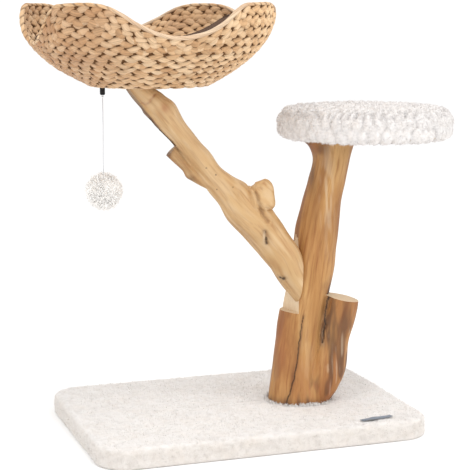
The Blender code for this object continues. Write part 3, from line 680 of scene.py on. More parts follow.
def plastic_paint():
    paint = Paint("moulded_black", 0.5, 0.25)
    grain = paint.noise(paint.place(), 1500.0, 2.0)
    colour = paint.ramp(grain, [(0.3, (0.004, 0.004, 0.0045)), (0.7, (0.010, 0.010, 0.011))])
    return paint.done(colour, paint.bump(grain, 0.25, 0.0002))


def board_paint(name, pale, dark, stretch, scale):
    """Pressed chips or plies, seen only from below or where a cover is lifted."""
    paint = Paint(name, 0.8, 0.25)
    chips = paint.node("ShaderNodeTexVoronoi", {"feature": "F1"}, Scale=scale)
    paint.put(chips.inputs["Vector"], paint.stretched(paint.place(), stretch))
    fine = paint.noise(paint.place(), 180.0, 4.0)
    colour = paint.mix(chips.outputs["Color"], pale, dark)
    colour = paint.mix(paint.times(fine, 0.4), colour, dark)
    return paint.done(colour, paint.bump(fine, 0.3, 0.0005))


def string_paint():
    """Thin twisted string."""
    paint = Paint("twisted_string", 0.75, 0.2)
    wave = paint.node("ShaderNodeTexWave", {"wave_type": "BANDS", "bands_direction": "DIAGONAL"})
    paint.put(wave.inputs["Vector"], paint.place())
    wave.inputs["Scale"].default_value = 260.0
    fuzz = paint.noise(paint.place(), 900.0, 2.0)
    colour = paint.ramp(wave.outputs["Fac"], [(0.2, (0.60, 0.61, 0.63)), (0.7, (0.72, 0.73, 0.75))])
    colour = paint.mix(paint.times(fuzz, 0.2), colour, (0.66, 0.67, 0.69))
    return paint.done(colour, paint.bump(wave.outputs["Fac"], 0.6, 0.0003))


# ---------------------------------------------------------------- tree limbs


def tree_spot(along_by, across_by, height):
    return ALONG * along_by + ACROSS * across_by + UP * height


def on_front(points):
    """Each point's place along the tree's plane and its height."""
    return points @ ALONG, points[:, 2]


def smooth_rows(rows, steps):
    """A Catmull-Rom curve through the rows."""
    rows = np.array(rows)
    padded = np.concatenate([rows[:1], rows, rows[-1:]])
    result = []
    for i in range(len(rows) - 1):
        before, start, end, after = padded[i : i + 4]
        for step in range(steps):
            u = step / steps
            bend = (2 * before - 5 * start + 4 * end - after) * u**2
            twist = (3 * start - before - 3 * end + after) * u**3
            result.append(start + 0.5 * ((end - before) * u + bend + twist))
    result.append(rows[-1])
    return np.array(result)


def limb(rows, upright=False, steps=10, sides=72):
    """(points, faces) of a closed oval limb along its rows."""
    rows = smooth_rows(rows, steps)
    spots = np.array([tree_spot(*row[:3]) for row in rows])
    across = ACROSS
    rings = []
    for i, row in enumerate(rows):
        run = spots[min(i + 1, len(spots) - 1)] - spots[max(i - 1, 0)]
        if upright:
            run = UP
        run = run / np.linalg.norm(run)
        side = np.cross(across, run)
        side /= np.linalg.norm(side)
        depth = np.cross(run, side)
        angle = round_about(sides)[:, None]
        rings.append(spots[i] + side * (row[3] * np.cos(angle)) + depth * (row[4] * np.sin(angle)))
    return np.concatenate(rings + [[rings[0].mean(0)], [rings[-1].mean(0)]]), tube_faces(len(rings), sides)


def limb_grain(points, rows):
    """Grain coordinates: the way along the limb, the way round it and the distance from its heart."""
    rows = smooth_rows(rows, 6)
    spots = np.array([tree_spot(*row[:3]) for row in rows])
    gaps = np.linalg.norm(points[:, None, :] - spots[None, :, :], axis=2)
    nearest = gaps.argmin(1)
    runs = unit(np.gradient(spots, axis=0))
    lengths = travelled(spots)
    offset = points - spots[nearest]
    run = runs[nearest]
    along = (offset * run).sum(1)
    square = offset - run * along[:, None]
    side = np.cross(ACROSS, run)
    depth = np.cross(run, side)
    x = (square * side).sum(1)
    y = (square * depth).sum(1)
    return np.stack([lengths[nearest] + along, x, y], 1)


def path_gap(along, height, path):
    """Distance of each point from a path drawn on the front, and the share of the way along it."""
    best = np.full(len(along), 1e9)
    share = np.zeros(len(along))
    for i in range(len(path) - 1):
        ax, ay = path[i]
        bx, by = path[i + 1]
        length = (bx - ax) ** 2 + (by - ay) ** 2
        t = np.clip(((along - ax) * (bx - ax) + (height - ay) * (by - ay)) / length, 0, 1)
        gap = np.hypot(along - ax - t * (bx - ax), height - ay - t * (by - ay))
        share = np.where(gap < best, (i + t) / (len(path) - 1), share)
        best = np.minimum(best, gap)
    return best, share


def seat_plane():
    facing = tree_spot(*SEAT_FACING)
    return tree_spot(*SEAT_SPOT), facing / np.linalg.norm(facing)


def facing_turn(facing):
    """The turn that brings the upward direction to the one given; its middle column runs up a steep face."""
    return np.array(Vector(facing).to_track_quat("Z", "Y").to_matrix())


def give_materials(obj, materials):
    obj.data.materials.clear()
    for material in materials:
        obj.data.materials.append(material)


def cut_box(spot, facing, size):
    """A box whose inner face passes through the spot and whose body lies on the facing side."""
    corners = np.array([(x * size[0] / 2, y * size[1] / 2, z * size[2]) for z in (0, 1) for x, y in SQUARE])
    faces = np.array([(3, 2, 1, 0), (4, 5, 6, 7), (0, 1, 5, 4), (1, 2, 6, 5), (2, 3, 7, 6), (3, 0, 4, 7)])
    box = mesh_object("cutter", corners @ facing_turn(facing).T + np.array(spot), [faces], [], smooth=False)
    box.hide_render = True
    return box


def cut(obj, boxes):
    for box in boxes:
        modifier = obj.modifiers.new("cut", "BOOLEAN")
        modifier.operation = "DIFFERENCE"
        modifier.solver = "MANIFOLD"
        modifier.object = box
    apply_modifiers(obj)
    for box in boxes:
        bpy.data.objects.remove(box, do_unlink=True)


def mark_flat_faces(obj, planes):
    """Faces that lie in one of the sawn planes get the end grain, and their edges stay sharp."""
    mesh = obj.data
    centres = read(mesh.polygons, "center")
    facings = read(mesh.polygons, "normal")
    flat = np.zeros(len(centres), bool)
    for spot, facing in planes:
        facing = np.array(facing) / np.linalg.norm(facing)
        near = np.abs((centres - np.array(spot)) @ facing) < 0.0002
        flat |= near & (np.abs(facings @ facing) > 0.995)
    mesh.polygons.foreach_set("material_index", flat.astype(np.int32))
    mesh.set_sharp_from_angle(angle=math.radians(38))


def pressed(points, normals, depth):
    """Points moved inwards, each by its own depth."""
    return points - normals * depth[:, None]


def rough_up(points, normals, grain, seed, swelling):
    """The uneven surface of a peeled limb: long shallow flutes, dents and low swellings."""
    flutes = bumps(grain * np.array([9.0, 55.0, 55.0]), 1.0, seed)
    dents = bumps(grain * np.array([28.0, 60.0, 60.0]), 1.0, seed + 1)
    ripples = bumps(grain * np.array([40.0, 190.0, 190.0]), 1.0, seed + 2)
    swell = bumps(points, 0.036, seed + 3)
    return pressed(points, normals, -(0.0012 * flutes + 0.0006 * dents + 0.00035 * ripples + swelling * swell))


def start_limb(name, shapes, materials, voxel, seed, swelling):
    """Oval limbs melted into one rough skin; returns the object, its points and the normals at them."""
    upright = shapes[0] is TRUNK_ROWS
    obj = joined(name, [limb(rows, upright) for rows in shapes], materials)
    voxel_joined(obj, voxel)
    give_materials(obj, materials)
    points, normals = surface(obj)
    return obj, rough_up(points, normals, limb_grain(points, shapes[0]), seed, swelling), normals


def blob(along, height, centre_along, centre_height, half_along, half_height):
    """1 at the middle of an oval spot on the front, falling to 0 outside it."""
    return np.exp(-(((along - centre_along) / half_along) ** 2) - ((height - centre_height) / half_height) ** 2)


def trunk_marks(points):
    """Places on the front, and the gaps from the crack and the split with the shares of the way down them."""
    along, height = on_front(points)
    wobble = 0.0022 * bumps(points, 0.012, 8) + 0.0010 * bumps(points, 0.004, 9)
    return along, height, *(path_gap(along + 0.6 * wobble, height, path) for path in (CRACK, SPLIT))


def build_trunk(wood, end_grain):
    trunk, points, normals = start_limb("tree_trunk", (TRUNK_ROWS, STUB_ROWS), (wood, end_grain), 0.0015, 3, 0.0014)
    along, height, (crack_gap, _), (split_gap, split_share) = trunk_marks(points)
    front = smooth(0.05, 0.35, -(normals @ ACROSS))
    crack_gap = np.where(front > 0.1, crack_gap, 1.0)
    split_gap = np.where(front > 0.1, split_gap, 1.0)
    points = pressed(points, normals, 0.0016 * bell(crack_gap, 0.0014))
    points = pressed(points, normals, 0.0034 * bell(split_gap, 0.0028 - 0.0018 * split_share))
    flare = bell(height - 0.510, 0.013) * smooth(0.25, 0.95, -(normals @ ALONG))
    points = points - np.outer(0.0060 * flare * (1 + bumps(points, 0.006, 14) * 0.5), ALONG)
    valley_gap, valley_share = path_gap(along, height, VALLEY)
    points = pressed(points, normals, front * 0.0030 * bell(valley_gap, 0.009) * (1 - valley_share))
    low, high = (np.array(corner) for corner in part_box("trunk"))
    points[:, 2] = np.clip(points[:, 2], low[2], high[2])
    set_points(trunk.data, points)

    spot, facing = seat_plane()
    seat_height = SEAT_TOP - SEAT_SPOT[2]
    middle = spot + np.array([0.0, 0.0, seat_height / 2])
    middle = middle - facing * ((middle - spot) @ facing)
    shelf_facing = facing_turn(facing)[:, 1]
    tilt = ALONG * math.sin(STUB_CUT_TILT) + np.array([0.0, 0.0, math.cos(STUB_CUT_TILT)])
    saw_spot = tree_spot(*STUB_CUT_SPOT)
    cut(trunk, [cut_box(middle, facing, (SEAT_SIZE, seat_height, SEAT_SIZE))])
    saw_flat(trunk, saw_spot, tilt, on_stub)
    give_materials(trunk, (wood, end_grain))
    shelf = (middle - shelf_facing * seat_height / 2, shelf_facing)
    mark_flat_faces(trunk, [(spot, facing), (saw_spot, tilt), (low, UP), (high, UP), shelf])

    points, normals = surface(trunk)
    along, height, (crack_gap, crack_share), (split_gap, split_share) = trunk_marks(points)
    front = smooth(-0.1, 0.3, -(normals @ ACROSS))
    point_values(trunk, "grain", limb_grain(points, TRUNK_ROWS))
    thin = 0.92 * (1 - smooth(0.2, 1.0, crack_gap / (0.0009 + 0.0009 * crack_share)))
    wide = 1 - smooth(0.3, 1.0, split_gap / (0.0030 - 0.0019 * split_share))
    point_values(trunk, "crack", front * np.maximum(thin, wide))
    patchy = 0.5 + 0.5 * bumps(points * np.array([1, 1, 0.16]), 0.0085, 12)
    fine = 0.5 + 0.5 * bumps(points * np.array([1, 1, 0.12]), 0.0040, 13)
    left_edge = smooth(0.20, 0.95, -(normals @ ALONG))
    stub = smooth(0.150, 0.166, along) * (1 - smooth(0.245, 0.260, height))
    foot = smooth(0.095, 0.110, along) * (1 - smooth(0.090, 0.150, height))
    low_half = 1 - smooth(0.19, 0.22, height)

    def oval(*where):
        return blob(along, height, *where)

    stain_and_shade = 0.75 * oval(0.1315, 0.4720, 0.010, 0.030) * left_edge + 0.55 * oval(0.1400, 0.4400, 0.006, 0.030)
    stain_and_shade += 1.3 * oval(0.1310, 0.5050, 0.009, 0.012) + 0.9 * oval(0.1540, 0.4960, 0.012, 0.012)
    stain_and_shade += 0.9 * oval(0.1949, 0.1830, 0.010, 0.014) * front
    stain_and_shade += stub * (0.16 + 0.62 * smooth(0.40, 0.75, patchy))
    stain_and_shade += 0.5 * left_edge * low_half * smooth(0.4, 0.7, patchy)
    # Darker towards the foot in an even band just above the board; the patches on the foot are stains.
    stain_and_shade += 0.6 * (1 - smooth(0.036, 0.052, height)) + 0.50 * foot * smooth(0.45, 0.75, patchy)
    stain_and_shade += (0.35 * bell(crack_gap, 0.005) + 0.4 * bell(split_gap, 0.008)) * front
    point_values(trunk, "stain_and_shade", np.clip(stain_and_shade * (0.45 + 0.9 * fine), 0, 1))
    red = 0.8 * oval(0.085, 0.140, 0.016, 0.080) * (0.4 + 0.8 * patchy)
    red += 0.7 * oval(0.150, 0.060, 0.040, 0.022) * smooth(0.35, 0.8, fine)
    red += 0.4 * oval(0.140, 0.320, 0.020, 0.060) * patchy
    red += (0.35 * stub + 0.40 * foot) * (1 - patchy) + 0.6 * oval(0.1430, 0.5000, 0.014, 0.014)
    point_values(trunk, "red", np.clip(red, 0, 1))
    bleach = 0.35 * stub * smooth(0.66, 0.90, fine) * low_half
    bleach += 0.5 * oval(0.166, 0.420, 0.012, 0.090) * smooth(0.3, 0.7, fine)
    bleach += 0.12 * oval(0.130, 0.120, 0.012, 0.060) * smooth(0.4, 0.7, fine)
    point_values(trunk, "bleach", np.clip(bleach, 0, 1))
    belongs(trunk, "stand", "trunk")


def saw_flat(obj, spot, facing, near):
    """Brings the points beyond a plane back onto it, where near says so."""
    points = surface(obj)[0]
    over = (points - spot) @ facing
    moved = np.where((over > 0) & near(points), over, 0.0)
    set_points(obj.data, points - np.outer(moved, facing))


def on_stub(points):
    """Points of the sawn side limb, apart from the trunk beside it."""
    along, height = on_front(points)
    rows = np.array(TRUNK_ROWS)
    middle = np.interp(height, rows[:, 2], rows[:, 0])
    half = np.interp(height, rows[:, 2], rows[:, 3])
    return (along - middle > half * 0.72) & (height < 0.262)


def twig_line():
    """The last stretch of the twig: where it starts and the way it runs."""
    start, end = (tree_spot(*row[:3]) for row in TWIG_ROWS[-2:])
    return start, (end - start) / np.linalg.norm(end - start)


def on_twig(points):
    """Points round the twig's far end."""
    start, run = twig_line()
    offset = points - start
    square = offset - np.outer(offset @ run, run)
    return (np.linalg.norm(square, axis=1) < 0.0155) & (offset @ run > 0.010)


def branch_marks(points):
    """Places on the front, and the gaps from the groove, knot, crease, twig's seam and hole."""
    along, height = on_front(points)
    wavy = along + 0.0016 * bumps(points, 0.008, 30)
    gaps = [path_gap(wavy, height, path)[0] for path in (GROOVE, KNOT, CREASE)]
    holes = [np.hypot(along - place, (height - level) * 1.3) for place, level in HOLES]
    return along, height, *gaps, path_gap(wavy, height, TWIG_SEAM), np.minimum(holes[0], holes[1] + 0.0012)


def build_branch(wood, end_grain):
    shapes = (BRANCH_ROWS, KNOB_ROWS, TWIG_ROWS)
    branch, points, normals = start_limb("side_branch", shapes, (wood, end_grain), 0.0014, 21, 0.0021)
    along, height, groove_gap, knot_gap, crease_gap, (seam_gap, seam_share), hole_gap = branch_marks(points)
    front = smooth(0.0, 0.3, -(normals @ ACROSS))
    points = pressed(points, normals, front * 0.0032 * bell(groove_gap, 0.0032))
    points = pressed(points, normals, -front * 0.0013 * bell(groove_gap - 0.0055, 0.003))
    for gap, width, depth in ((knot_gap, 0.0034, 0.0040), (hole_gap, 0.0045, 0.0050), (crease_gap, 0.0022, 0.0010)):
        points = pressed(points, normals, front * depth * bell(gap, width))
    ring_gap = np.abs(limb_grain(points, BRANCH_ROWS)[:, 0] - 0.492)
    points = pressed(points, normals, -0.0008 * bell(ring_gap, 0.006))
    points = pressed(points, normals, 0.0014 * bell(seam_gap, 0.0024) * (1 - seam_share))
    for knob_along, knob_height, knob_size, knob_rise in SWELLINGS:
        away = np.hypot(along - knob_along, height - knob_height) / knob_size
        points = pressed(points, normals, -knob_rise * np.exp(-(away**2)))
    set_points(branch.data, points)

    spot, facing = seat_plane()
    top = np.array([*BOWL_CENTRE, BOWL_BOTTOM - GAP])
    seat_box = cut_box(spot + facing * GAP, -facing, (0.300, 0.300, 0.200))
    cut(branch, [seat_box, cut_box(top, UP, (0.200, 0.200, 0.100))])
    saw_flat(branch, tree_spot(*TWIG_END), twig_line()[1], on_twig)
    give_materials(branch, (wood, end_grain))
    mark_flat_faces(branch, [(spot + facing * GAP, facing), (top, UP)])

    points, normals = surface(branch)
    along, height, groove_gap, knot_gap, crease_gap, (seam_gap, seam_share), hole_gap = branch_marks(points)
    front = smooth(-0.1, 0.3, -(normals @ ACROSS))
    grain = limb_grain(points, BRANCH_ROWS)
    point_values(branch, "grain", grain)
    flake = blob(along, height, 0.0515, 0.3465, 0.0021, 0.0095)
    broken = smooth(-0.5, 0.1, bumps(points, 0.0045, 35))
    crack = 0.85 * (1 - smooth(0.0006, 0.0034, knot_gap)) * (1 - smooth(0.2, 0.6, flake)) * broken
    crack += 0.85 * (1 - smooth(0.0020, 0.0046, hole_gap))
    for speck_along, speck_height in SPECKS:
        crack += 0.8 * (1 - smooth(0.0008, 0.0016, np.hypot(along - speck_along, height - speck_height)))
    point_values(branch, "crack", np.clip(crack * front, 0, 1))
    fine = 0.5 + 0.5 * bumps(grain * np.array([30.0, 200.0, 200.0]), 1.0, 33)
    stain_and_shade = 0.75 * bell(seam_gap, 0.0022) * (1 - seam_share)
    marks = ((0.45, groove_gap, 0.0030), (0.30, crease_gap, 0.0018), (0.55, knot_gap, 0.006), (0.5, hole_gap, 0.008))
    for strength, gap, width in marks:
        stain_and_shade += strength * bell(gap, width) * front
    twig = smooth(0.0, 0.006, (along + 0.0975) * -0.81 - (height - 0.499) * 0.59)
    twig *= 1 - smooth(-0.074, -0.062, along)
    stain_and_shade += twig * (0.26 + 0.9 * (1 - smooth(-0.1155, -0.1030, along - 0.4 * (height - 0.500))))
    # A stain spot, and painted shade: darker on the faces turned downwards.
    stain_and_shade += 0.30 * blob(along, height, -0.0754, 0.4489, 0.010, 0.010) + 0.16 * smooth(0.1, 0.8, -normals[:, 2])
    point_values(branch, "stain_and_shade", np.clip(stain_and_shade * (0.6 + 0.6 * fine), 0, 1))
    red = 0.8 * blob(along, height, -0.1218, 0.5750, 0.008, 0.008) * smooth(0.3, 0.6, fine)
    red += 0.22 * smooth(0.55, 0.9, fine) + 0.55 * bell(crease_gap, 0.0022) * front
    point_values(branch, "red", np.clip(red, 0, 1))
    point_values(branch, "bleach", np.clip(0.8 * flake * front + 0.3 * smooth(0.4, 0.9, 1 - fine), 0, 1))
    belongs(branch, "stand", "branch")


# ---------------------------------------------------------------- bowl


def bowl_radius(rise):
    share = np.clip(rise / BOWL_HEIGHT, 0, 1.0)
    return BOWL_FOOT_RADIUS + (BOWL_TOP_RADIUS - BOWL_FOOT_RADIUS) * (1 - (1 - share) ** BOWL_CURVE)


def bowl_slope(rise):
    """How fast the radius grows with height."""
    step = 0.001
    return (bowl_radius(rise + step) - bowl_radius(rise - step)) / (2 * step)


def turned_from(angle, side):
    return np.mod(angle - side + math.pi, TURN) - math.pi


def rim_rise(angle):
    """The rim's height: four petals, each a little different as hand work is."""
    wave = np.cos(PETALS * (angle - PETAL_TURN))
    wave = wave * (1 + np.where(wave > 0, PETAL_FLATNESS, DIP_FLATNESS) * (1 - wave**2))
    drop = PETAL_DROP + LOW_SIDE_DROP * np.cos(angle - LOW_SIDE)
    rise = BOWL_HEIGHT - drop * (1 - wave) / 2
    for side, spread, lift in RIM_LIFTS:
        turn = turned_from(angle, math.radians(side)) / math.radians(spread)
        rise = rise + lift * np.exp(-(turn**2))
    return rise


def bowl_points(angle, rise, inward):
    """Points on the bowl's wall, moved inwards square to the wall; one side is fuller than the rest."""
    slope = bowl_slope(rise)
    length = np.hypot(1.0, slope)
    turn = turned_from(angle, FULL_SIDE) / FULL_SPREAD
    bulge = FULLNESS * np.exp(-(turn**2)) * smooth(0.002, 0.035, rise)
    radius = bowl_radius(rise) + bulge - inward / length
    height = BOWL_BOTTOM + rise + inward * slope / length
    return xyz(BOWL_CENTRE[0] + radius * np.cos(angle), BOWL_CENTRE[1] + radius * np.sin(angle), height)


def leaf_strand(centre, outward, half, thick, sides=8):
    """(points, faces) of a flat leaf strand along the centre points, closed at both ends."""
    run = unit(np.gradient(centre, axis=0))
    side = unit(np.cross(outward, run))
    face = np.cross(run, side)
    angle = round_about(sides)
    ring = (
        centre[:, None, :]
        + side[:, None, :] * (half[:, None] * np.cos(angle)[None, :])[:, :, None]
        + face[:, None, :] * (thick[:, None] * np.sin(angle)[None, :])[:, :, None]
    )
    return np.concatenate([ring.reshape(-1, 3), centre[:1], centre[-1:]]), tube_faces(len(centre), sides)


class Weave:
    """Collects strands and what their material needs."""

    def __init__(self):
        self.parts = []
        self.grain = []
        self.tone = []
        self.hollow_shade = []

    def add(self, centre, outward, half, thick, phase, over, sides=8):
        points, faces = leaf_strand(centre, outward, half, thick, sides)
        self.parts.append((points, faces))
        way = travelled(centre)
        number = len(self.parts)
        ring_way = np.repeat(way, sides)
        angle = np.tile(round_about(sides), len(centre))
        grain = np.stack(
            [ring_way + 3.7 * number, np.repeat(half, sides) * np.cos(angle), 0.004 * np.sin(angle)], 1
        )
        grain = np.concatenate([grain, grain[:1], grain[-1:]])
        lobe = np.floor(phase / math.pi + 0.25).astype(np.int64)
        tone = 0.52 + 0.34 * corner_value(lobe, lobe * 0 + number, lobe * 0, 5)
        ring_tone = np.repeat(tone, sides)
        # Painted shade: darker where a strand runs under its neighbours and along its edges.
        covered = np.where(np.sin(angle) > -0.1, 1 - np.repeat(over, sides), np.repeat(over, sides))
        hollow_shade = np.clip(0.60 * covered**3 + 0.60 * np.abs(np.cos(angle)) ** 4, 0, 1)
        self.grain.append(grain)
        self.tone.append(np.concatenate([ring_tone, ring_tone[:1], ring_tone[-1:]]))
        self.hollow_shade.append(np.concatenate([hollow_shade, hollow_shade[:1], hollow_shade[-1:]]))

    def build(self, name, material, red_shade_and_light=None):
        obj = joined(name, self.parts, material)
        points = surface(obj)[0]
        point_values(obj, "grain", np.concatenate(self.grain))
        point_values(obj, "tone", np.concatenate(self.tone))
        point_values(obj, "hollow_shade", np.concatenate(self.hollow_shade))
        if red_shade_and_light:
            red, lit = red_shade_and_light(points)
            point_values(obj, "red", red)
            point_values(obj, "lit", lit)
        return obj


def braid_row(weave, angle, rise, scale=1.0, reach=1.0, seed=0, sink=0.0):
    """Three strands plaited along a row on the bowl's wall; angle and rise are the row's centre line."""
    middle = bowl_points(angle, rise, BOWL_WALL / 2 + sink)
    way = travelled(middle)
    turns = max(1.0, round(way[-1] / (BRAID_TURN * scale)))
    closed = np.linalg.norm(middle[0] - middle[-1]) < 0.004
    rate = TURN * (turns / way[-1] if closed else 1 / (BRAID_TURN * scale))
    drift = 0.45 * bumps(xyz(way, seed, 0), 0.050, 71)
    ends = np.ones(len(way))
    if closed:
        drift = drift * smooth(0, 0.05, way) * smooth(0, 0.05, way[-1] - way)
    else:
        ends = smooth(-0.002, 0.008, way) * smooth(-0.002, 0.008, way[-1] - way)
    slope = bowl_slope(rise)
    stretch = 1 / np.hypot(1.0, slope)
    run = unit(np.gradient(middle, axis=0))
    outward = xyz(np.cos(angle) * stretch, np.sin(angle) * stretch, -slope * stretch)
    up = unit(np.cross(outward, run))
    up *= np.sign(up[:, 2:3].mean())
    for number in range(3):
        phase = way * rate + number * TURN / 3 + drift + seed * 1.3
        over = 0.5 + 0.5 * np.sin(2 * phase + 0.20)
        free = np.abs(2 * over - 1)
        variety = 1 + 0.16 * bumps(xyz(way, number * 9.1 + seed, 0), 0.017, 72)
        aside = BRAID_REACH * reach * np.sin(phase) * ends
        depth = BRAID_DEPTH * (2 * over - 1)
        centre = middle + up * aside[:, None] + outward * depth[:, None]
        half = STRAND_HALF * reach * variety * (0.74 + 0.30 * free) * (0.25 + 0.75 * ends)
        thick = STRAND_THICK * (0.80 + 0.24 * free) * (0.3 + 0.7 * ends)
        weave.add(centre, outward, half, thick, phase + number * 40 + seed * 7, over)


def border_rise(angle, number):
    """Centre line of the braids that follow the rim, measured square to the sloping rim."""
    step = 0.01
    climb = (rim_rise(angle + step) - rim_rise(angle - step)) / (2 * step)
    rise = rim_rise(angle)
    across = bowl_radius(rise)
    slant = np.hypot(1.0, climb / across * np.hypot(1.0, bowl_slope(rise)))
    down = (BORDER_FIRST + number * BORDER_PITCH) * slant
    return rise - down / np.hypot(1.0, bowl_slope(rise - down))


def build_weave(straw):
    weave = Weave()
    circle = np.linspace(0, TURN, 520)
    for number in range(2):
        braid_row(weave, circle, border_rise(circle, number), 0.9, 0.92, seed=number + 1)
    fine_rise = np.linspace(0, BOWL_HEIGHT, 400)
    steps = np.hypot(np.diff(fine_rise), np.diff(bowl_radius(fine_rise)))
    way = np.concatenate([[0], np.cumsum(steps)])
    level = ROW_PITCH / 2
    count = 0
    fine = np.linspace(-math.pi, math.pi, 1441)
    while level < way[-1]:
        rise = np.interp(level, way, fine_rise)
        count += 1
        limit = border_rise(fine, 1)
        room = np.interp(limit, fine_rise, way) - level
        inside = room > -ROW_PITCH * 0.12
        lap = 0.0010 * (1 - smooth(0.40, 0.90, room / ROW_PITCH))
        if inside.all():
            radius = bowl_radius(rise)
            angle = np.linspace(0, TURN, int(TURN * radius / 0.0026))
            sink = np.interp(np.mod(angle + math.pi, TURN) - math.pi, fine, lap)
            braid_row(weave, angle, np.full(len(angle), rise), seed=count + 4, sink=sink)
        else:
            starts = np.where(inside & ~np.roll(inside, 1))[0]
            for start in starts:
                stop = start
                while inside[(stop + 1) % 1440] and stop - start < 1440:
                    stop += 1
                first = fine[start % 1440]
                width = (stop - start) * math.radians(0.25)
                length = width * bowl_radius(rise)
                if length < 0.028:
                    continue
                angle = first + np.linspace(0, width, int(length / 0.0026))
                sink = np.interp(np.mod(angle + math.pi, TURN) - math.pi, fine, lap)
                braid_row(weave, angle, np.full(len(angle), rise), seed=count + 4 + start % 7, sink=sink)
        level += ROW_PITCH
    obj = weave.build("bowl_braids", straw, red_shade_and_light=weave_red_shade_and_light)
    belongs(obj, "stand")
    floor = Weave()
    ring = BOWL_FOOT_RADIUS - 0.0075
    while ring > 0.012:
        angle = np.linspace(0, TURN, max(24, int(TURN * ring / 0.0030)))
        floor_row(floor, angle, ring)
        ring -= ROW_PITCH
    plate = floor.build("bowl_floor", straw)
    belongs(plate, "stand")
    liner = build_liner()
    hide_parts("bowl_weave")
    belongs(liner, "stand")


def weave_red_shade_and_light(points):
    """Redder, darker leaves in patches on the left, partly their own colour and partly painted shade; painted shade
    inside, most towards the back; painted light on the inner side and on the right.
    """
    x = points[:, 0] - BOWL_CENTRE[0]
    y = points[:, 1] - BOWL_CENTRE[1]
    left = smooth(0.02, 0.17, -x)
    patch = smooth(-0.3, 0.6, bumps(points, 0.030, 91))
    middle = bowl_radius(points[:, 2] - BOWL_BOTTOM) - 0.0035
    inside = 1 - smooth(-0.001, 0.001, np.hypot(x, y) - middle)
    back = smooth(-0.02, 0.12, y)
    # Red: on the left partly the leaves' own colour and partly painted shade; inside, most towards the back, painted
    # shade.
    red = (0.42 + 0.34 * patch) * left * (1 - inside) + (0.34 + 0.42 * back) * inside * (0.4 + 0.6 * patch)
    # Painted light: the inner side and the right side made paler.
    lit = 0.20 * inside + 0.42 * smooth(0.06, 0.20, x) * (1 - inside)
    return np.clip(red, 0, 1), lit


def floor_row(weave, angle, ring):
    """A ring of the plaited floor."""
    turns = max(2, round(TURN * ring / BRAID_TURN))
    height = BOWL_BOTTOM + BOWL_WALL / 2
    radial = xyz(np.cos(angle), np.sin(angle), 0)
    down = np.array([0.0, 0.0, -1.0])
    outward = np.tile(down, (len(angle), 1))
    for number in range(3):
        phase = angle * turns + number * TURN / 3
        radius = ring + BRAID_REACH * np.sin(phase)
        centre = radial * radius[:, None] + np.array([*BOWL_CENTRE, height])
        centre[:, 2] -= BRAID_DEPTH * np.sin(2 * phase)
        over = 0.5 + 0.5 * np.sin(2 * phase - 0.5)
        half = STRAND_HALF * (0.80 + 0.22 * over)
        thick = STRAND_THICK * (0.78 + 0.26 * over)
        weave.add(centre, outward, half, thick, phase + number * 40 + ring * 900, over)


def build_liner():
    """Painted shade: a dark sheet behind the braids, so that the gaps between them are closed and show dark."""
    # Painted shade: very dark brown for what shows through the gaps.
    paint = Paint("gap_shade_paint", 0.9, 0.1)
    spot = paint.noise(paint.place(), 120.0, 3.0)
    colour = paint.ramp(spot, [(0.3, (0.075, 0.034, 0.014)), (0.7, (0.19, 0.095, 0.042))])
    core = paint.done(colour, paint.bump(spot, 0.5, 0.001))
    columns = 240
    levels = np.linspace(0, 1, 22)
    angle = round_about(columns)
    top = rim_rise(angle) - 0.004
    rows = []
    for inward, order in ((BOWL_WALL / 2 - 0.0012, levels), (BOWL_WALL / 2 + 0.0012, levels[::-1])):
        for level in order:
            rows.append(bowl_points(angle, level * top, inward))
    low = BOWL_BOTTOM + BOWL_WALL / 2 + 0.0008
    circle = xyz(np.cos(angle), np.sin(angle), 0)
    centre = np.array([*BOWL_CENTRE, 0.0])
    inner = [circle * (BOWL_FOOT_RADIUS - 0.006) + centre + np.array([0, 0, low])]
    outer = [circle * (BOWL_FOOT_RADIUS - 0.004) + centre + np.array([0, 0, low - 0.0016])]
    rows = outer + rows + inner
    points = np.concatenate(rows + [[[*BOWL_CENTRE, low - 0.0016]], [[*BOWL_CENTRE, low]]])
    return mesh_object("bowl_gap_shade_sheet", points, tube_faces(len(rows), columns), core)


